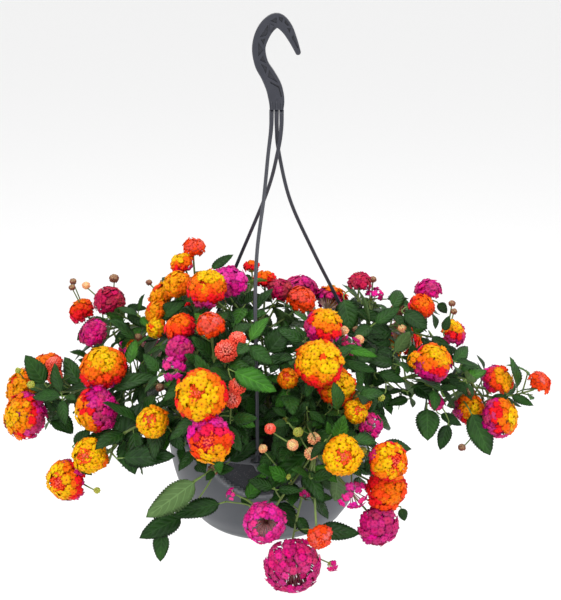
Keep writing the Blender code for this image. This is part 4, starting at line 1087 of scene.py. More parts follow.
def unit_ball(level: int) -> tuple[np.ndarray, np.ndarray]:
    """Round ball of radius 1.

    Args:
        level: Its fineness.

    Returns:
        Its corners and triangles.
    """
    bm = bmesh.new()
    bmesh.ops.create_icosphere(bm, subdivisions=level, radius=1.0)
    bm.verts.ensure_lookup_table()
    points = rows_of([v.co for v in bm.verts])
    faces = np.array([[v.index for v in f.verts] for f in bm.faces])
    bm.free()
    return points, faces


@dataclass
class Hanger:
    """Moulded hook with ribbed pockets, and the three strands that spread from its neck."""

    step: float = 2.2
    rim: float = 1.1
    rim_rise: float = 0.45
    strand_corner: Pairs = ((1.10, 0.0), (1.02, 0.52), (0.66, 0.80), (0.26, 0.78))
    strand_waist: float = 0.46
    pockets: tuple[Pairs, ...] = (
        ((28.2, 583.6), (34.0, 569.0), (32.9, 568.6), (26.2, 580.6)),
        ((21.3, 590.9), (25.4, 590.9), (24.2, 585.4)),
        ((19.5, 600.2), (23.6, 593.9), (21.4, 593.4), (18.2, 597.0)),
        ((11.9, 603.3), (16.8, 602.3), (15.8, 596.9), (12.6, 600.0)),
        ((9.8, 602.8), (9.8, 596.0), (2.6, 598.8)),
        ((2.6, 595.5), (7.0, 593.4), (2.4, 587.1)),
        ((0.2, 594.4), (0.2, 585.6), (-2.1, 582.4), (-8.8, 580.9)),
        ((-2.7, 579.6), (-4.6, 572.5), (-7.8, 578.2)),
        ((-10.5, 575.1), (-4.8, 566.7), (-10.6, 559.8)),
        ((-5.4, 560.9), (-2.2, 552.4), (-8.9, 555.6)),
        ((-7.5, 551.6), (-0.9, 547.7), (-2.3, 540.6)),
        ((1.3, 545.0), (11.0, 530.6), (-0.2, 537.1)),
        ((2.3, 532.0), (12.8, 526.6), (15.6, 515.1), (14.6, 514.6), (11.7, 524.8), (3.0, 529.9)),
    )

    def outline(self) -> list[Vector]:
        """Outline of the hook in its own plane, from the tip round.

        Returns:
            Its points.
        """
        line = smooth_path([(x, w, z) for x, z, w in HOOK_LINE], self.step)
        right, left = [], []
        for i, here in enumerate(line):
            after, before = line[min(i + 1, len(line) - 1)], line[max(i - 1, 0)]
            along = Vector((after.x - before.x, 0.0, after.z - before.z)).normalized()
            side = Vector((along.z, 0.0, -along.x))
            centre = Vector((here.x, 0.0, here.z))
            if i == 0:
                cap = [centre + side * here.y * math.sin(a) - along * here.y * 0.9 * math.cos(a)
                       for a in (-1.2, -0.8, -0.4, 0.0, 0.4, 0.8, 1.2)]
            right.append(centre + side * here.y)
            left.append(centre - side * here.y)
        return cap + right + left[::-1]

    @staticmethod
    def plate(name: str, outline: list[Vector], low: float, high: float) -> bpy.types.Object:
        """Flat plate between two depths.

        Args:
            name: Its name.
            outline: Its outline in the XZ plane.
            low: Front face.
            high: Back face.

        Returns:
            The plate, in metres.
        """
        bm = bmesh.new()
        front = [bm.verts.new(Vector((p.x, low, p.z)) * MM) for p in outline]
        back = [bm.verts.new(Vector((p.x, high, p.z)) * MM) for p in outline]
        count = len(outline)
        bm.faces.new(front)
        bm.faces.new(back[::-1])
        for k in range(count):
            nxt = (k + 1) % count
            bm.faces.new((front[k], back[k], back[nxt], front[nxt]))
        bmesh.ops.recalc_face_normals(bm, faces=bm.faces)
        mesh = bpy.data.meshes.new(name)
        bm.to_mesh(mesh)
        bm.free()
        obj = bpy.data.objects.new(name, mesh)
        bpy.context.scene.collection.objects.link(obj)
        return obj

    def build_hook(self) -> None:
        """Build and dress the hook."""
        half = HOOK_DEPTH / 2
        hook = self.plate("hook_dressed", self.outline(), -half + self.rim_rise, half - self.rim_rise)
        bm = bmesh.new()
        bm.from_mesh(hook.data)
        broad = sorted(bm.faces, key=lambda f: f.calc_area())[-2:]
        for face in broad:
            before = set(bm.faces)
            bmesh.ops.inset_region(bm, faces=[face], thickness=self.rim * MM, depth=0.0, use_even_offset=True)
            rim = [f for f in set(bm.faces) - before]
            sign = math.copysign(1.0, face.calc_center_median().y)
            border = {v for f in rim for v in f.verts if v not in set(face.verts)}
            for vert in border:
                vert.co.y += sign * self.rim_rise * MM
        bm.to_mesh(hook.data)
        bm.free()
        cutters = bpy.data.collections.new("hook_pockets")
        bpy.context.scene.collection.children.link(cutters)
        depth = HOOK_WEB / 2
        tools = []
        for outline in self.pockets:
            points = [Vector((x, 0.0, z)) for x, z in outline]
            for low, high in ((-half - 2.0, -depth), (depth, half + 2.0)):
                tool = self.plate("pocket", points, low, high)
                bpy.context.scene.collection.objects.unlink(tool)
                cutters.objects.link(tool)
                tools.append(tool)
        cut = hook.modifiers.new("pockets", "BOOLEAN")
        cut.operation = "DIFFERENCE"
        cut.operand_type = "COLLECTION"
        cut.collection = cutters
        cut.solver = "EXACT"
        bevel = hook.modifiers.new("edges", "BEVEL")
        bevel.width = 0.28 * MM
        bevel.segments = 2
        bevel.limit_method = "ANGLE"
        bevel.angle_limit = math.radians(38)
        graph = bpy.context.evaluated_depsgraph_get()
        mesh = bpy.data.meshes.new_from_object(hook.evaluated_get(graph))
        hook.modifiers.clear()
        hook.data = mesh
        for tool in tools:
            bpy.data.objects.remove(tool)
        bpy.data.collections.remove(cutters)
        skin = Skin()
        for x in (4.0, 9.6, 15.2):
            ridge = [Vector((x, -3.2, z)) for z in (510.0, 507.5, 504.0, 500.2)]
            add_sweep(skin, ridge, [0.3, 1.25, 1.5, 1.55], 12)
        gate = Vector((10.3, -half + self.rim_rise, 511.9))
        button = ((1.0, 0.95), (-0.2, 0.9), (-0.55, 0.55), (-0.65, 0.05))
        add_turned(skin, gate, button, 14, axis=Vector((0, 1, 0)))
        bits = skin.build("hook_bits", ())
        bm = bmesh.new()
        bm.from_mesh(hook.data)
        bm.from_mesh(bits.data)
        bm.to_mesh(hook.data)
        bm.free()
        bpy.data.objects.remove(bits)
        hook.data.materials.clear()
        hook.data.materials.append(MATERIALS["hanger_plastic"])
        hook.data.polygons.foreach_set("use_smooth", [False] * len(hook.data.polygons))
        settle(hook, "hanger_hook")

    def build_strand(self, side: str) -> None:
        """Build and dress one strand with its clip.

        Args:
            side: Which strand.
        """
        end = around(LUG_AZIMUTHS[side], LUG_RADIUS, 0.0)
        points = [Vector(p) for p in STRAND_ROUTES[side][:-1]] + [end + Vector((0, 0, POT_HEIGHT + 10.0))]
        path = smooth_path(points, 6.0)
        path[0].z -= 0.3
        path += [end + Vector((0, 0, LUG_LEVEL + z)) for z in (11.0, 7.0)]
        radii = [STRAND_RADIUS * max(1.0, 1.25 - 0.03 * i) for i in range(len(path))]
        skin = Skin()
        corner, waist = self.strand_corner, self.strand_waist
        half = corner + ((0.0, waist),) + tuple((-a, b) for a, b in corner[::-1])
        section = half + tuple((-a, -b) for a, b in half[1:-1])
        add_sweep(skin, path, radii, section=section, first_side=Vector((1, 0, 0)))
        above = ((11.0, 1.9), (9.0, 2.4), (6.6, 3.4), (5.6, 4.1), (5.0, 4.25), (3.6, 4.25), (3.4, 4.1),
                 (3.4, 2.2), (-0.2, 2.2), (-0.2, 4.3), (-0.8, 4.6), (-1.5, 4.5), (-4.0, 3.4), (-8.0, 1.8),
                 (-9.0, 1.0))
        add_turned(skin, end + Vector((0, 0, LUG_LEVEL)), above[::-1], 20)
        name = "strand_" + side
        settle(skin.build(name + "_dressed", ("hanger_plastic",)), name)


# plant layout
@dataclass
class Leaf:
    """One leaf blade.

    Args:
        origin: Its root on the stem.
        along: Direction to its tip.
        normal: Its upper side.
        length: Length with its stalk.
        width: Half width.
        tint: Colour factor.
        teeth: Teeth on each edge.
        droop: How far its tip hangs, as a share of its length.
    """

    origin: Vector
    along: Vector
    normal: Vector
    length: float
    width: float
    tint: Colour = (1.0, 1.0, 1.0)
    teeth: int = 13
    droop: float = 0.16


class Layout:
    """Every stem, stalk and leaf of the frame, grown in the same order by the same rule."""

    def __init__(self) -> None:
        """Grow the stems, then the stalks, then the leaves."""
        self.heads = [(name, stem, Vector(c), r, Vector(f).normalized())
                      for name, stem, parts in HEADS for c, r, f, _ in parts]
        self.wood: list[tuple[Vector, float, str]] = []
        self.blades: list[Vector] = []
        self.stems: dict[str, list[Vector]] = {}
        self.stalks: dict[str, list] = defaultdict(list)
        self.leaves: dict[str, list[Leaf]] = defaultdict(list)
        self.twigs: dict[str, list] = defaultdict(list)
        self.sprigs: dict[str, list] = defaultdict(list)
        for side, route in STRAND_ROUTES.items():
            ends = list(route[:-1]) + [around(LUG_AZIMUTHS[side], LUG_RADIUS, POT_HEIGHT - 4.0)]
            self.wood += [(p, STRAND_RADIUS, "strand") for p in smooth_path(ends, 5.0)]
        for name, root, way in STEMS:
            self.add_stem(name, root, way)
        for name, stem, centre, radius, facing in self.heads:
            self.add_stalk(name, stem, centre, radius, facing)
        for name, _, _ in STEMS:
            self.add_leaves(name)

    def add_stem(self, name: str, root: tuple[float, float], way: tuple[Point, ...]) -> None:
        """Smooth main stem from its hole in the soil through its way points.

        Args:
            name: The stem.
            root: Its place in the soil.
            way: Its way points.
        """
        start = Vector((root[0], root[1], SOIL_TOP - 28.0))
        collar = Vector((root[0], root[1], SOIL_TOP + 6.0))
        path = [start] + smooth_path([collar] + list(way), 26.0)
        self.stems[name] = path
        self.wood += [(p, STEM_RADIUS, name) for p in along_path(path, 4.0)]

    def room(self, point: Vector, margin: float, name: str, near: tuple[Vector, ...] = ()) -> float:
        """Free distance from a point to heads, pot, soil, strands and other stems' wood.

        Args:
            point: The point.
            margin: Distance kept free round it.
            name: The stem that it belongs to.
            near: Centres of heads that it may touch.

        Returns:
            The free distance, below 0 where it is too near.
        """
        free = 1e9
        for _, _, centre, radius, _ in self.heads:
            if centre not in near:
                free = min(free, (point - centre).length - radius)
        spread = math.hypot(point.x, point.y)
        if point.z < POT_HEIGHT + 3.0:
            outside = spread - (wall_radius(point.z) + 3.0 if point.z < POT_HEIGHT - 14 else LUG_RADIUS + 5.0)
            if spread > 118.0 or point.z < SOIL_TOP:
                free = min(free, outside)
            else:
                free = min(free, point.z - SOIL_TOP - 1.0, 118.0 - spread)
        for other, radius, owner in self.wood:
            if owner != name:
                free = min(free, (point - other).length - radius)
        return free - margin

    def add_stalk(self, head: str, stem: str, centre: Vector, radius: float, facing: Vector) -> None:
        """Flower stalk from the stem to the back of a head, by the freest of several routes.

        Args:
            head: The head's node.
            stem: The stem.
            centre: Centre of the head.
            radius: Its radius.
            facing: The way it faces.
        """
        path = self.stems[stem]
        base = centre - facing * (radius * HEAD_CORE + SEAT_GAP)
        near = min(range(2, len(path)), key=lambda k: (path[k] - base).length)
        best = None
        for back in (1, 2, 0, 3, 4):
            k = max(2, near - back)
            start = path[k] + Vector((0.17, 0.11, 0.07)) * (len(self.stalks[stem]) + 1)
            reach = (base - start).length
            lift = Vector((0, 0, 1))
            out = (base - start).normalized()
            side = out.cross(lift).normalized()
            for bend in STALK_BENDS:
                middle = start.lerp(base - facing * reach * 0.25, 0.6)
                middle += (lift * bend[0] + side * bend[1]) * reach
                count = 2 if reach < 70.0 else 3
                neck = base - facing * 5.0
                route = [start * (1 - t) ** 2 + middle * 2 * t * (1 - t) + neck * t * t
                         for t in (j / count for j in range(count + 1))] + [base]
                score = min(self.room(p, 2.2, stem, (centre,)) for p in along_path(route, 5.0)[1:])
                away = min((p - centre).length - radius * 0.7 for p in route[:-1])
                score = min(score, away) - abs(bend[0]) * 2 - abs(bend[1]) * 2 - back * 0.3
                if best is None or score > best[0]:
                    best = (score, route)
                if score > 2.5:
                    break
            if best[0] > 2.5:
                break
        route = best[1]
        self.stalks[stem].append((head, route, facing, radius))
        self.wood += [(p, STALK_RADIUS, stem) for p in along_path(route, 4.0)[1:]]

    def blade_points(self, origin: Vector, along: Vector, normal: Vector, length: float,
                     width: float) -> list[Vector]:
        """Sample points over a leaf blade.

        Args:
            origin: Its root.
            along: Direction to its tip.
            normal: Its upper side.
            length: Its length.
            width: Its half width.

        Returns:
            The points.
        """
        side = normal.cross(along)
        points = []
        for s in (0.18, 0.32, 0.46, 0.6, 0.74, 0.88, 1.0):
            half = width * leaf_width(s)
            droop = -normal * length * 0.16 * s * s
            for a in (-1.0, -0.6, -0.2, 0.2, 0.6, 1.0):
                points.append(origin + along * length * s + side * half * a + droop
                              + normal * abs(a) * half * 0.25)
        return points

    def add_leaves(self, name: str) -> None:
        """Opposite leaf pairs up the stem and on the long stalks, each turned until it is clear.

        Args:
            name: The stem.
        """
        rng = random.Random(name)
        runs = [(along_path(self.stems[name], 4.0), 52.0, LEAF_SPACING, 1.0)]
        for _, route, _, _ in self.stalks[name]:
            length = sum((b - a).length for a, b in zip(route, route[1:]))
            if length > 100.0:
                runs.append((along_path(route, 4.0), 38.0, 200.0, 0.85))
        for path, skip, spacing, scale in runs:
            travelled = 0.0
            due = skip
            turn = rng.uniform(0, math.pi)
            for i in range(1, len(path) - 4):
                travelled += (path[i] - path[i - 1]).length
                if travelled < due:
                    continue
                due += spacing * rng.uniform(0.85, 1.15)
                turn += math.pi / 2
                for half in (0.0, math.pi):
                    self.try_leaf(rng, name, path, i, turn + half, scale)

    def try_leaf(self, rng: random.Random, name: str, path: list[Vector], i: int, turn: float,
                 scale: float) -> None:
        """Place one leaf if some direction near its own is clear of everything.

        Args:
            rng: Source of the draws.
            name: The stem.
            path: Centre line of the wood.
            i: Place of the leaf on it.
            turn: Its own direction round the wood.
            scale: Its size.
        """
        here = path[i]
        along_stem = (path[i + 1] - path[i - 1]).normalized()
        ortho = along_stem.orthogonal().normalized()
        size = scale * rng.uniform(0.8, 1.15)
        for attempt in range(14):
            shrink = 1.0 if attempt < 8 else 0.8
            swing = turn + rng.uniform(-0.25, 0.25) * (1 + attempt * 0.6)
            out = Matrix.Rotation(swing, 3, along_stem) @ ortho
            along = out + along_stem * rng.uniform(0.1, 0.7)
            along = (along + Vector((0, 0, rng.uniform(-0.35, 0.3)))).normalized()
            up = Vector((0, 0, 1)) + Vector((here.x, here.y, 0)).normalized() * 0.35
            normal = (up - along * up.dot(along))
            if normal.length < 0.25:
                continue
            normal.normalize()
            length = 60.0 * size * shrink
            width = length * 0.24
            points = self.blade_points(here, along, normal, length, width)
            if min(self.room(p, 2.6, name) for p in points) < 0:
                continue
            if min(self.own_room(p, name, here) for p in points) < 0:
                continue
            if any((p - q).length < 5.0 for p in points for q in self.blades):
                continue
            self.blades += points
            self.leaves[name].append(Leaf(here, along, normal, length, width))
            return

    def own_room(self, point: Vector, name: str, here: Vector) -> float:
        """Distance from a blade point to the same stem's wood, past the leaf's own root.

        Args:
            point: The point.
            name: The stem.
            here: The leaf's root.

        Returns:
            The distance.
        """
        free = 1e9
        for other, radius, owner in self.wood:
            if owner == name and (other - here).length > 9.0:
                free = min(free, (point - other).length - radius - 1.6)
        return free


@dataclass
class Thicket:
    """Side twigs and small leaves that fill the plant between the frame's own leaves."""

    layout: Layout
    spacing: float = 9.0
    seed: int = 5
    cell: float = 3.0
    low: Point = (-300.0, -205.0, 100.0)
    high: Point = (320.0, 205.0, 300.0)
    inner_rim: float = 117.0
    outer_rim: float = 142.0
    strand_gap: float = 4.0
    head_reach: float = 70.0
    strand_reach: float = 60.0
    twig_share: float = 0.45
    young_share: float = 0.14

    def __post_init__(self) -> None:
        """Collect what the twigs keep clear of."""
        self.rng = random.Random(self.seed)
        self.centres = rows_of([c for _, _, c, _, _ in self.layout.heads])
        self.radii = np.array([r for _, _, _, r, _ in self.layout.heads])
        self.hard = rows_of([p for p, _, owner in self.layout.wood if owner == "strand"])
        self.taken: set[tuple[int, int, int]] = set()
        self.take(rows_of(self.layout.blades))

    def cells(self, points: np.ndarray) -> np.ndarray:
        """Cell of each point in a coarse grid."""
        return np.floor(points / self.cell).astype(int)

    def take(self, points: np.ndarray) -> None:
        """Mark the cells round a blade's points as taken.

        Args:
            points: The points.
        """
        steps = np.array([(0, 0, 0), (1, 0, 0), (-1, 0, 0), (0, 1, 0), (0, -1, 0), (0, 0, 1), (0, 0, -1)])
        near = self.cells(points)[:, None] + steps
        self.taken.update(map(tuple, near.reshape(-1, 3).tolist()))

    def clear(self, points: np.ndarray, head_gap: float, blades: bool = True) -> bool:
        """Whether points keep off the heads, pot, strands and blades.

        Args:
            points: The points.
            head_gap: Least distance to a head's surface.
            blades: Whether they keep off the blades too.

        Returns:
            Whether they are clear.
        """
        if np.any(points < self.low) or np.any(points > self.high):
            return False
        spread = np.hypot(points[:, 0], points[:, 1])
        below = points[:, 2] < POT_HEIGHT + 3.0
        inside = below & (spread < self.inner_rim) & (points[:, 2] > SOIL_TOP + 2.0)
        outside = below & (spread > self.outer_rim)
        if np.any(below & ~inside & ~outside):
            return False
        if blades and not self.taken.isdisjoint(map(tuple, self.cells(points).tolist())):
            return False
        middle = points.mean(axis=0)
        near = np.linalg.norm(self.centres - middle, axis=1) - self.radii < self.head_reach
        if near.any():
            away = points[:, None] - self.centres[near]
            if (np.sqrt((away * away).sum(axis=2)) - self.radii[near]).min() < head_gap:
                return False
        near = np.linalg.norm(self.hard - middle, axis=1) < self.strand_reach
        if near.any():
            away = points[:, None] - self.hard[near]
            if (away * away).sum(axis=2).min() < self.strand_gap ** 2:
                return False
        return True

    def carrier(self, place: Vector) -> tuple[str, Vector]:
        """Stem and point of its wood nearest to a place.

        Args:
            place: The place.

        Returns:
            The stem's name and the point.
        """
        wood = [(p, owner) for p, _, owner in self.layout.wood if owner != "strand"]
        far = [(point - place).length + 0.6 * max(0.0, point.z - place.z) for point, _ in wood]
        point, owner = wood[far.index(min(far))]
        return owner, point

    def reach_out(self, name: str, start: Vector, end: Vector, heading: Vector) -> None:
        """Add a bowed twig from the wood to a leaf's or a head's foot.

        Args:
            name: The stem that carries it.
            start: Its root on the wood.
            end: Its end.
            heading: The way that what it carries points.
        """
        length = (end - start).length
        middle = start.lerp(end, 0.55) - heading * length * 0.12 + Vector((0.0, 0.0, 0.06)) * length
        self.layout.twigs[name].append(smooth_path([start, middle, end], 5.0))

    def add_seen(self) -> None:
        """Add the leaves and small heads that the photo shows, each on a twig from the nearest wood."""
        rows = [(shade, row) for shade, group in SEEN_LEAVES.items() for row in group]
        for shade, (*ends, share) in rows:
            root, tip = from_view(*ends[:3]), from_view(*ends[3:])
            along = (tip - root).normalized()
            tint, turned = shade.value
            view = Vector((0.0, -0.8, 0.6))
            normal = view - along * view.dot(along)
            normal = -normal.normalized() if turned else normal.normalized()
            length = (tip - root).length * 1.12
            root -= along * length * 0.10
            name, start = self.carrier(root)
            self.reach_out(name, start, root, along)
            width = length * share
            teeth = max(8, round(length / 4.0))
            self.layout.leaves[name].append(Leaf(root, along, normal, length, width, tint, teeth, 0.08))
            self.take(rows_of(self.layout.blade_points(root, along, normal, length, width)))
        for sprig in SPRIGS:
            centre, facing = from_view(*sprig.place), Vector(sprig.facing).normalized()
            foot = centre - facing * sprig.radius * 0.7
            name, start = self.carrier(foot - Vector((0.0, 0.0, 12.0)))
            self.reach_out(name, start, foot, facing)
            self.layout.sprigs[name].append((centre, sprig.radius, facing, sprig.look))

    def grow(self) -> None:
        """Add twigs with leaf pairs all along the stems and stalks."""
        self.add_seen()
        for name, path in self.layout.stems.items():
            fine = smooth_path(path[1:], 4.0)
            self.line(name, fine, 14.0, 40.0)
            for _, route, _, radius in self.layout.stalks[name]:
                self.line(name, smooth_path(route, 4.0), 20.0, 26.0)

    def line(self, name: str, path: list[Vector], skip: float, reach: float) -> None:
        """Add twigs and leaves along one stem or stalk.

        Args:
            name: The stem that carries it.
            path: Its centre line.
            skip: Bare length at its root.
            reach: Longest twig.
        """
        travelled, due, turn = 0.0, skip, self.rng.uniform(0, 6.28)
        for i in range(1, len(path) - 2):
            travelled += (path[i] - path[i - 1]).length
            if travelled < due:
                continue
            due += self.spacing * self.rng.uniform(0.8, 1.3)
            turn += math.pi / 2 + self.rng.uniform(-0.4, 0.4)
            along = (path[i + 1] - path[i - 1]).normalized()
            ortho = along.orthogonal().normalized()
            for half in (0.0, math.pi):
                out = Matrix.Rotation(turn + half, 3, along) @ ortho
                if self.rng.random() < self.twig_share:
                    self.twig(name, path[i], out, along, reach)
                else:
                    self.leaf(name, path[i], out, along, self.rng.uniform(34.0, 60.0))

    def leaf(self, name: str, here: Vector, out: Vector, along_stem: Vector, length: float) -> bool:
        """Try a leaf at a place.

        Args:
            name: The stem that carries it.
            here: Its root.
            out: Direction away from the wood.
            along_stem: Direction of the wood.
            length: Its length.

        Returns:
            Whether it found room.
        """
        for _ in range(7):
            along = (out + along_stem * self.rng.uniform(0.0, 0.8)
                     + Vector([self.rng.uniform(-0.5, 0.5) for _ in range(3)])).normalized()
            up = Vector((0, -0.25, 1)) + Vector((here.x, here.y, 0)).normalized() * 0.6
            up += Vector([self.rng.uniform(-0.35, 0.35) for _ in range(3)])
            normal = up - along * up.dot(along)
            if normal.length < 0.3:
                continue
            normal.normalize()
            size = length * self.rng.uniform(0.8, 1.0)
            width = size * self.rng.uniform(0.21, 0.27)
            points = rows_of(self.layout.blade_points(here, along, normal, size, width))
            if not self.clear(points, 1.5):
                continue
            self.take(points)
            shade = self.rng.uniform(0.62, 1.25)
            young = self.rng.random() < self.young_share
            tint = (2.2, 2.2, 1.2) if young else (shade, shade, shade)
            self.layout.leaves[name].append(Leaf(here, along, normal, size, width, tint, round(size / 4.4),
                                                 self.rng.uniform(0.10, 0.24)))
            return True
        return False

    def twig(self, name: str, here: Vector, out: Vector, along_stem: Vector, reach: float) -> None:
        """Try a side twig that ends in leaf pairs.

        Args:
            name: The stem that carries it.
            here: Its root.
            out: Direction away from the wood.
            along_stem: Direction of the wood.
            reach: Longest twig.
        """
        for _ in range(4):
            heading = (out + along_stem * 0.5 + Vector((0, 0, self.rng.uniform(0.0, 0.9)))).normalized()
            length = reach * self.rng.uniform(0.5, 1.0)
            bend = Vector([self.rng.uniform(-0.2, 0.2) for _ in range(3)]) * length
            route = [here, here + heading * length * 0.5 + bend * 0.5 + Vector((0, 0, -0.05)) * length,
                     here + heading * length + bend]
            fine = smooth_path(route, 5.0)
            if not self.clear(rows_of(fine[2:]), 2.0, False):
                continue
            tip = (fine[-1] - fine[-2]).normalized()
            ortho = tip.orthogonal().normalized()
            start = self.rng.uniform(0, 3.14)
            grown = 0
            for k in range(4):
                away = Matrix.Rotation(start + k * math.pi / 2, 3, tip) @ ortho
                place = fine[-1] if k % 2 == 0 else fine[-2]
                grown += self.leaf(name, place, away, tip, self.rng.uniform(24.0, 46.0))
            if grown:
                self.layout.twigs[name].append(fine)
            return


# foliage meshes
class Foliage:
    """Turns the layout's stems, stalks, twigs and leaves into one piece for each stem."""

    SLOTS = ("stem_green", "leaf_top", "leaf_under", "petal")

    def __init__(self, layout: Layout) -> None:
        """Keep the layout."""
        self.layout = layout

    def build(self, name: str) -> None:
        """Build and dress one stem with all that grows on it.

        Args:
            name: The stem's node.
        """
        skin = Skin()
        path = self.layout.stems[name]
        fine = [path[0]] + smooth_path(path[1:], 5.0)
        count = len(fine)
        rng = random.Random(name + "wood")
        radii = []
        tints = []
        for i in range(count):
            t = i / (count - 1)
            node = 1.22 if i % 7 == 3 else 1.0
            radii.append(STEM_RADIUS * (1.0 - 0.42 * t) * node)
            brown = max(0.0, 1.0 - t * 2.6)
            tints.append((1.0 + 0.15 * brown, 1.0 - 0.42 * brown, 1.0 - 0.1 * brown))
        corner = [(a * 0.88, b * 0.88) for a, b in ((1.0, 0.35), (0.78, 0.78), (0.35, 1.0))]
        upper = corner + [(-b, a) for a, b in corner]
        section = tuple(upper + [(-a, -b) for a, b in upper])
        add_sweep(skin, fine, radii, tints=tints, section=section)
        for _, route, _, radius in self.layout.stalks[name]:
            line = smooth_path(route, 4.0)
            thick = 0.95 if radius < 12 else 1.15
            width = [thick * (1.25 - 0.25 * k / len(line)) for k in range(len(line) - 1)] + [thick * 1.3]
            shade = rng.uniform(0.9, 1.25)
            add_sweep(skin, line, width, 6, [(shade, shade * 1.05, shade)] * len(line))
        for line in self.layout.twigs[name]:
            width = [1.1 - 0.4 * k / len(line) for k in range(len(line))]
            add_sweep(skin, line, width, 6, [(1.0, 1.1, 0.9)] * len(line))
        for leaf in self.layout.leaves[name]:
            self.add_leaf(skin, leaf)
        for k, (centre, radius, facing, look) in enumerate(self.layout.sprigs[name]):
            Umbel(skin, centre, radius, facing, look, name + "sprig" + str(k), 3).build()
        settle(skin.build(name + "_dressed", self.SLOTS), name)

    def add_leaf(self, skin: Skin, leaf: Leaf) -> None:
        """Serrated, folded, drooping blade with an upper and an under side, and its leaf stalk.

        Args:
            skin: Where it goes.
            leaf: The leaf.
        """
        side = leaf.normal.cross(leaf.along)
        columns = (-1.0, -0.5, 0.0, 0.5, 1.0)
        rows = [(0.115, 0.30), (0.15, 0.62)]
        for tooth in range(leaf.teeth):
            s = 0.19 + 0.76 * tooth / leaf.teeth
            rows.append((s, 1.05))
            rows.append((s + 0.16 / leaf.teeth, 0.92))
        wave = (leaf.origin.x * 0.7 + leaf.origin.y) % 6.28
        count = len(rows)

        def place(s: float, across: float, size: float, lift: float) -> Vector:
            """Point of the blade.

            Args:
                s: Place along it, from 0 at its root to 1.
                across: Place across it, from -1 to 1.
                size: Factor on its width there.
                lift: Height above its middle layer.

            Returns:
                The point.
            """
            half = leaf.width * leaf_width(s) * size * across
            ripple = math.sin(s * 9.0 + wave) * abs(across) ** 2 * leaf.width * 0.10
            rise = abs(half) * 0.25 - leaf.length * leaf.droop * s * s + ripple + lift
            return leaf.origin + leaf.along * leaf.length * s + side * half + leaf.normal * rise

        points, chart = [], []
        upper, under = np.zeros((count, 5), int), np.zeros((count, 5), int)
        for sign, table in ((0.22, upper), (-0.22, under)):
            for i, (s, size) in enumerate(rows):
                for k, across in enumerate(columns):
                    rim = k in (0, 4) or i == 0
                    if sign < 0 and rim:
                        table[i, k] = upper[i, k]
                        continue
                    edge = size if k in (0, 4) else 1.0
                    rib = 0.25 if k == 2 and sign < 0 else 0.0
                    table[i, k] = len(points)
                    points.append(place(s, across, edge, 0.0 if rim else sign - rib))
                    chart.append((0.5 + across * 0.5, s))
        tip = len(points)
        points.append(place(1.0, 0.0, 1.0, 0.0))
        chart.append((0.5, 1.0))
        faces, slots = [], []
        for table, slot in ((upper, 1), (under, 2)):
            for i in range(count - 1):
                for k in range(4):
                    a, b, c, d = table[i, k], table[i, k + 1], table[i + 1, k + 1], table[i + 1, k]
                    pair = [(a, b, c), (a, c, d)] if slot == 1 else [(a, c, b), (a, d, c)]
                    faces += pair
                    slots += [slot, slot]
            for k in range(4):
                a, b = table[count - 1, k], table[count - 1, k + 1]
                faces.append((a, b, tip) if slot == 1 else (a, tip, b))
                slots.append(slot)
        points_array = rows_of(points)
        faces_array = np.array(faces)
        if side.cross(leaf.along).dot(leaf.normal) < 0:
            faces_array = faces_array[:, ::-1]
        skin.add(points_array, faces_array, leaf.tint, np.array(chart), np.array(slots))
        root = [place(s, 0.0, 1.0, -0.25) for s in (0.0, 0.05, 0.10, 0.16)]
        add_sweep(skin, root, [0.95, 0.8, 0.75, 0.5], 5, [(1.0, 1.15, 0.8)] * 4)


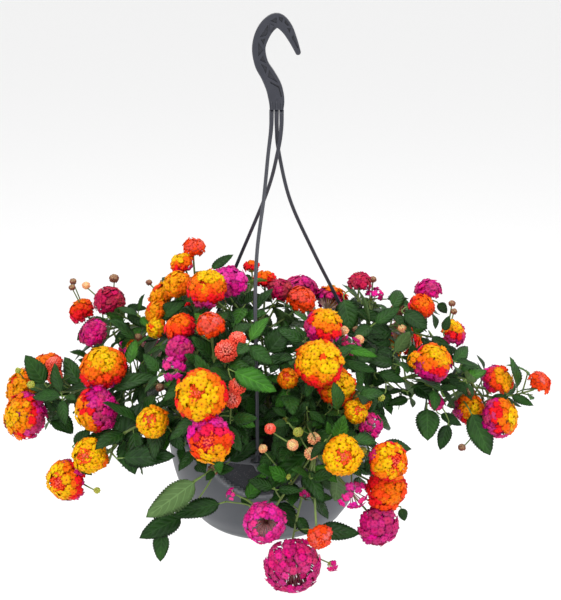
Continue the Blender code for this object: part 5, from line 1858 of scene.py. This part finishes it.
# flowers
class Umbel:
    """Florets, buds and hub of one flower head."""

    GOLDEN = math.pi * (3 - math.sqrt(5))
    # distance between florets, by their radius, and widest angle from the facing
    SPACING = {Form.DOME: 1.62, Form.BUDDED: 1.62, Form.OPEN: 1.5, Form.SPARSE: 1.9}
    LIMIT = {Form.DOME: 108.0, Form.BUDDED: 108.0, Form.OPEN: 112.0, Form.SPARSE: 84.0}
    # share of a sparse head's florets that have dropped, and growth of a full head's florets
    DROPPED = 0.2
    FULLER = 1.12
    CORE_SHARE = 0.80
    BALL_ANGLE = 130.0

    def __init__(self, skin: Skin, centre: Vector, radius: float, facing: Vector, look: Look, seed: str,
                 slot: int = 0) -> None:
        """Keep the head's place and look.

        Args:
            skin: Where it goes.
            centre: Its centre.
            radius: Its radius.
            facing: The way it faces.
            look: Its look.
            seed: Seed of its random draws.
            slot: Its material slot.
        """
        self.skin = skin
        self.slot = slot
        self.centre = centre
        self.radius = radius
        self.facing = facing
        self.look = look
        self.rng = np.random.default_rng(sum(ord(c) * (i + 1) for i, c in enumerate(seed)))
        self.hub = centre - facing * (radius * HEAD_CORE)
        self.young = Vector(look.axis).normalized() if look.axis else facing

    def shell(self, direction: Vector, reach: float) -> Vector:
        """Point on the flattened dome in a direction, at a share of its radius.

        Args:
            direction: The direction.
            reach: The share.

        Returns:
            The point.
        """
        rise = direction.dot(self.facing)
        squeeze = self.look.flat if rise > 0 else 1.0
        return self.centre + (direction + self.facing * rise * (squeeze - 1.0)) * self.radius * reach

    def tone(self, angle: float) -> np.ndarray:
        """Colour of a floret at an angle from the youngest, with a little scatter.

        Args:
            angle: The angle in degrees.

        Returns:
            The colour.
        """
        angle += self.rng.normal(0.0, 6.0)
        for limit, tone in self.look.age.value:
            if angle <= limit:
                break
        colour = np.array(tone.value)
        if tone in (Tone.MAGENTA, Tone.PINK, Tone.CRIMSON):
            colour = colour * self.rng.uniform(0.70, 1.2)
            colour[1] += self.rng.uniform(0.0, 0.045)
            colour[2] *= self.rng.uniform(0.8, 1.25)
        else:
            colour = colour * self.rng.uniform(0.86, 1.06)
            colour[1] *= self.rng.uniform(0.82, 1.15)
        return np.clip(colour, 0.0, 1.0)

    def sites(self, spacing: float, low: float, high: float = 0.0) -> list[tuple[Vector, float]]:
        """Directions spread over the head between two angles from its facing.

        Args:
            spacing: Distance between florets.
            low: Widest angle in degrees.
            high: Narrowest angle in degrees.

        Returns:
            Each direction with its angle.
        """
        shell = self.radius * 0.92
        total = max(10, int(4 * math.pi * shell * shell / (spacing * spacing * 0.87)))
        turn = self.facing.to_track_quat("Z", "Y").to_matrix()
        found = []
        for i in range(total):
            z = 1.0 - 2.0 * (i + 0.5) / total
            angle = math.degrees(math.acos(z))
            if angle > low or angle < high:
                continue
            flat = math.sqrt(1.0 - z * z)
            spin = i * self.GOLDEN
            local = Vector((flat * math.cos(spin), flat * math.sin(spin), z))
            local += Vector(self.rng.normal(0.0, 0.05, 3))
            found.append(((turn @ local).normalized(), angle))
        return found

    def build(self) -> None:
        """Add the whole head."""
        form, petal = self.look.form, self.look.petal
        self.add_hub()
        if form is Form.BUDS:
            self.add_bud_ball(self.BALL_ANGLE)
            return
        full = form in (Form.DOME, Form.BUDDED)
        if full:
            self.add_core(self.CORE_SHARE)
        start = self.look.bud_angle if form is Form.BUDDED else 0.0
        if form is Form.OPEN:
            start = self.look.bud_angle + 4.0
        if form is Form.BUDDED:
            self.add_buds(start)
        for direction, _ in self.sites(petal * self.SPACING[form], self.LIMIT[form], start):
            if form is Form.SPARSE and self.rng.random() < self.DROPPED:
                continue
            self.add_floret(direction, petal * (self.FULLER if full else 1.0))

    def add_hub(self) -> None:
        """Green receptacle where the tubes and the stalk meet."""
        size = 1.5 if self.look.form is Form.BUDS else 2.1
        axis = self.facing
        cup = ((-size * 0.9, 0.5), (-size * 0.5, size * 0.75), (0.0, size), (size * 0.7, size * 0.8),
               (size * 1.2, 0.3))
        add_turned(self.skin, self.hub, cup, 10, (0.34, 0.40, 0.07), self.slot, axis)
        side = axis.orthogonal().normalized()
        for k in range(7):
            out = Matrix.Rotation(2 * math.pi * k / 7, 3, axis) @ side
            start = self.hub - axis * size * 0.3 + out * size * 0.6
            path = [start, start + out * size * 0.9 + axis * size * 0.3,
                    start + out * size * 1.3 + axis * size * 1.4]
            add_sweep(self.skin, path, [0.4, 0.45, 0.05], 5, [(0.16, 0.27, 0.05)] * 3, None, self.slot)

    def add_core(self, share: float) -> None:
        """Dark inner ball, so that the gaps between florets read as shade.

        Args:
            share: Its radius as a share of the head's.
        """
        ball = unit_ball(2)
        colour = self.tone(82.0) * (0.62, 0.42, 0.62)
        rise = (ball[0] @ np.array(tuple(self.facing)))[:, None]
        squeeze = np.where(rise > 0.0, self.look.flat, 0.15) - 1.0
        spread = ball[0] + rise * squeeze * np.array(tuple(self.facing))
        place = spread * self.radius * share + np.array(tuple(self.centre))
        self.skin.add(place, ball[1], tuple(colour), None, self.slot)

    def add_floret(self, direction: Vector, petal: float) -> None:
        """One floret: a thin limb of four or five broad lobes on its tube.

        Args:
            direction: Where it stands, from the head's centre.
            petal: Radius of its limb.
        """
        angle = math.degrees(direction.angle(self.young))
        colour = self.tone(angle)
        lobes = 5 if self.rng.random() < 0.22 else 4
        size = petal * self.rng.uniform(0.86, 1.08)
        normal = (direction + self.facing * 0.25 + Vector(self.rng.normal(0.0, 0.16, 3))).normalized()
        seat = self.shell(direction, (0.93 - 0.6 / self.radius) * self.rng.uniform(0.90, 1.04))
        frame_x = normal.orthogonal().normalized()
        frame_x = Matrix.Rotation(self.rng.uniform(0, 6.28), 3, normal) @ frame_x
        frame_y = normal.cross(frame_x)
        curl = self.rng.uniform(-0.22, 0.04)
        local: list[tuple[float, float, float]] = [(0.0, 0.0, -0.16)]
        shade = [0.18]
        half = math.pi / lobes
        widths = self.rng.uniform(0.9, 1.08, lobes)
        for k in range(lobes):
            for j, reach in ((0, 0.30), (1, 0.36)):
                turn = 2 * half * k + j * half
                local.append((0.8 * reach * math.cos(turn), 0.8 * reach * math.sin(turn), 0.02 + 0.02 * j))
                shade.append(0.93)
        steps = ((0.0, 0.64, -0.02), (0.26, 0.92, 0.0), (0.60, 1.05, 0.05), (1.0, 0.98, -0.03),
                 (1.40, 1.05, 0.05), (1.74, 0.92, 0.0))
        for k in range(lobes):
            for j, (share, reach, lift) in enumerate(steps):
                turn = 2 * half * k + share * half
                reach *= widths[k] * self.rng.uniform(0.95, 1.05) if j else 1.0
                lift += self.rng.normal(0.0, 0.03)
                local.append((reach * math.cos(turn), reach * math.sin(turn), lift + curl * reach * reach))
                shade.append(0.96 if j == 0 else 1.05)
        ring, outline = 1, 1 + 2 * lobes
        faces = []
        for k in range(lobes):
            n0, c0 = ring + 2 * k, ring + 2 * k + 1
            n1 = ring + (2 * k + 2) % (2 * lobes)
            o = outline + 6 * k
            o_next = outline + (6 * k + 6) % (6 * lobes)
            faces += [(0, n0, c0), (0, c0, n1), (n0, o, o + 1), (n0, o + 1, c0), (c0, o + 5, n1)]
            faces += [(c0, o + j, o + j + 1) for j in range(1, 5)] + [(n1, o + 5, o_next)]
        throat = outline + 6 * lobes
        for k in range(lobes):
            turn = 2 * half * k
            local.append((0.17 * math.cos(turn), 0.17 * math.sin(turn), -0.22))
            # painted shade: the ring under the limb, where the lobes shade the tube, is darkened by 0.7
            shade.append(0.7)
        for k in range(lobes):
            t0, t1 = throat + k, throat + (k + 1) % lobes
            o = outline + 6 * k
            o_next = outline + (6 * k + 6) % (6 * lobes)
            faces += [(t0, o + j + 1, o + j) for j in range(3)] + [(t0, t1, o + 3)]
            faces += [(t1, o + 4, o + 3), (t1, o + 5, o + 4), (t1, o_next, o + 5)]
        points = np.array(local) * size
        axes = rows_of([frame_x, frame_y, normal])
        world = points @ axes + np.array(tuple(seat))
        foot = self.hub + direction * 1.8
        tube = (seat - normal * size * 0.22 - foot)
        bottom = []
        middle = []
        bow = Vector(self.rng.normal(0.0, 0.5, 3))
        for k in range(lobes):
            turn = 2 * half * k
            off = frame_x * math.cos(turn) + frame_y * math.sin(turn)
            middle.append(tuple(foot + tube * 0.55 + bow + off * 0.62))
            bottom.append(tuple(foot + off * 0.38))
        base = len(local)
        world = np.concatenate([world, middle, bottom])
        foot_ring = base + lobes
        faces += band(base, throat, lobes) + band(foot_ring, base, lobes)
        faces += [(foot_ring, foot_ring + k + 1, foot_ring + k) for k in range(1, lobes - 1)]
        tint = np.clip(colour[None, :] * np.array(shade)[:, None], 0, 1)
        warm = colour * np.array([1.0, 0.8, 0.8])
        # painted shade: the middle corner is darkened to stand for the tube's shaded opening
        tint[0] = (0.22, 0.05, 0.01) if colour[1] > 0.3 else warm * np.array([0.6, 0.4, 0.5])
        ring_tone = np.clip(colour * np.array([1.0, 0.72, 0.8]) + (0.02, 0.0, 0.0), 0, 1)
        tint[1:1 + 2 * lobes] = ring_tone
        pale = np.array([1.0, 0.70, 0.62]) if colour[2] > 0.06 else np.array([0.95, 0.55, 0.20])
        tube_tone = colour * 0.2 + pale * 0.8
        tint = np.concatenate([tint, np.tile(tube_tone, (lobes, 1)), np.tile(pale * 0.8, (lobes, 1))])
        self.skin.add(world, faces, tint, None, self.slot)

    def add_bud(self, foot: Vector, tip: Vector, size: float, colour: np.ndarray, end: np.ndarray) -> None:
        """Closed bud on its tube.

        Args:
            foot: Where its tube starts.
            tip: Its outer end.
            size: Radius of its swollen end.
            colour: Its colour.
            end: Colour of its very tip.
        """
        line = [foot, foot.lerp(tip, 0.55), foot.lerp(tip, 0.80), foot.lerp(tip, 0.95), tip]
        tints = [tuple(colour * 0.7), tuple(colour * 0.8), tuple(colour), tuple(colour), tuple(end)]
        widths = [size * share for share in (0.35, 0.55, 1.0, 0.95, 0.35)]
        add_sweep(self.skin, line, widths, 5, tints, None, self.slot)

    def add_buds(self, limit: float) -> None:
        """Tight buds in the middle of a young head.

        Args:
            limit: Half angle of the middle in degrees.
        """
        for direction, angle in self.sites(3.0, limit + 5.0):
            tone = Tone.CORAL if angle < limit * 0.5 else Tone.FLAME
            colour = np.array(tone.value) * self.rng.uniform(0.7, 1.05)
            tip = self.shell(direction, (0.80 + 0.08 * angle / limit) * self.rng.uniform(0.95, 1.04))
            foot = self.centre.lerp(tip, 0.45)
            self.add_bud(foot, tip, 1.3, np.clip(colour, 0, 1), np.clip(colour * 1.2 + 0.03, 0, 1))

    def add_bud_ball(self, limit: float) -> None:
        """Head of closed buds, paler in the middle, the outer ones longer.

        Args:
            limit: Widest angle from its facing in degrees.
        """
        for direction, angle in self.sites(2.6 if self.radius > 7 else 2.2, limit):
            colour = self.tone(angle)
            share = 0.84 + 0.16 * min(angle, 90.0) / 90.0
            tip = self.shell(direction, share * self.rng.uniform(0.90, 1.04))
            pale = np.clip(colour * 1.1 + np.array([0.04, 0.07, 0.05]), 0, 1)
            self.add_bud(self.hub + direction * 0.8, tip, 1.15, colour, pale if angle < 60 else colour * 1.1)


class Blossom:
    """Turns each flower node of the frame into one piece."""

    def build(self, name: str, parts: tuple) -> None:
        """Build and dress the heads of one node.

        Args:
            name: The node.
            parts: Its heads as (centre, radius, facing, look).
        """
        skin = Skin()
        for k, (centre, radius, facing, look) in enumerate(parts):
            facing = Vector(facing).normalized()
            Umbel(skin, Vector(centre), radius * look.swell, facing, look, name + str(k)).build()
        settle(skin.build(name + "_dressed", ("petal",)), name)


# studio
@dataclass
class Studio:
    """Plain pale floor, soft light and the camera."""

    floor_level: float = -0.30
    backdrop: Colour = (0.93, 0.93, 0.93)
    glow: float = 0.95
    lamps: tuple[tuple[str, Point, float, float], ...] = (
        ("key", (-1.1, -1.5, 2.1), 1.4, 26.0), ("fill", (1.6, -1.2, 1.0), 1.6, 10.0),
        ("top", (0.2, 0.6, 2.4), 1.6, 14.0))

    def build(self) -> None:
        """Set up the studio."""
        bpy.ops.mesh.primitive_plane_add(size=40.0, location=(0.0, 0.0, self.floor_level))
        floor = bpy.context.object
        floor.name = "studio_floor"
        material = bpy.data.materials.new("studio_pale")
        material.use_nodes = True
        shader = material.node_tree.nodes["Principled BSDF"]
        shader.inputs["Base Color"].default_value = (*self.backdrop, 1.0)
        shader.inputs["Roughness"].default_value = 0.9
        floor.data.materials.append(material)
        world = bpy.data.worlds.new("studio_light")
        world.use_nodes = True
        world.node_tree.nodes["Background"].inputs["Color"].default_value = (1.0, 1.0, 1.0, 1.0)
        world.node_tree.nodes["Background"].inputs["Strength"].default_value = self.glow
        bpy.context.scene.world = world
        bpy.context.scene.view_settings.view_transform = "Standard"
        for name, place, size, power in self.lamps:
            self.lamp(name, place, size, power)
        camera_data = bpy.data.cameras.new("camera")
        camera = bpy.data.objects.new("camera", camera_data)
        bpy.context.scene.collection.objects.link(camera)
        camera.location = (CAMERA_X * MM, -CAMERA_DISTANCE * MM, CAMERA_HEIGHT * MM)
        camera.rotation_euler = (math.radians(90.0 - CAMERA_PITCH), 0.0, 0.0)
        camera_data.sensor_width = SENSOR
        camera_data.lens = FOCAL_PIXELS * SENSOR / IMAGE_SIZE[1]
        bpy.context.scene.camera = camera

    @staticmethod
    def lamp(name: str, place: Point, size: float, power: float) -> None:
        """Add a square soft light that points at the plant.

        Args:
            name: Its name.
            place: Where it stands, in metres.
            size: Its width in metres.
            power: Its power in watts.
        """
        data = bpy.data.lights.new(name, "AREA")
        data.size = size
        data.energy = power
        lamp = bpy.data.objects.new(name, data)
        bpy.context.scene.collection.objects.link(lamp)
        lamp.location = place
        lamp.rotation_euler = (Vector((0.0, 0.0, 0.2)) - Vector(place)).to_track_quat("-Z", "Y").to_euler()


def main() -> None:
    """Build every piece in order."""
    groups = {"grain": grain_group(), "specks": speckle_group(), "veins": vein_group()}
    MATERIALS.update({finish.name: finish.material(groups) for finish in FINISHES})
    Studio().build()
    Bowl().build()
    SoilBed().build()
    hanger = Hanger()
    hanger.build_hook()
    for side in STRAND_ROUTES:
        hanger.build_strand(side)
    layout = Layout()
    Thicket(layout).grow()
    foliage = Foliage(layout)
    for name, _, _ in STEMS:
        foliage.build(name)
    blossom = Blossom()
    for name, _, parts in HEADS:
        blossom.build(name, parts)
    total = sum(len(obj.data.polygons) for obj in bpy.data.objects if obj.name.endswith("_dressed"))
    log.info("all pieces: %d triangles, %d leaves", total, sum(len(v) for v in layout.leaves.values()))


if __name__ == "__main__":
    main()
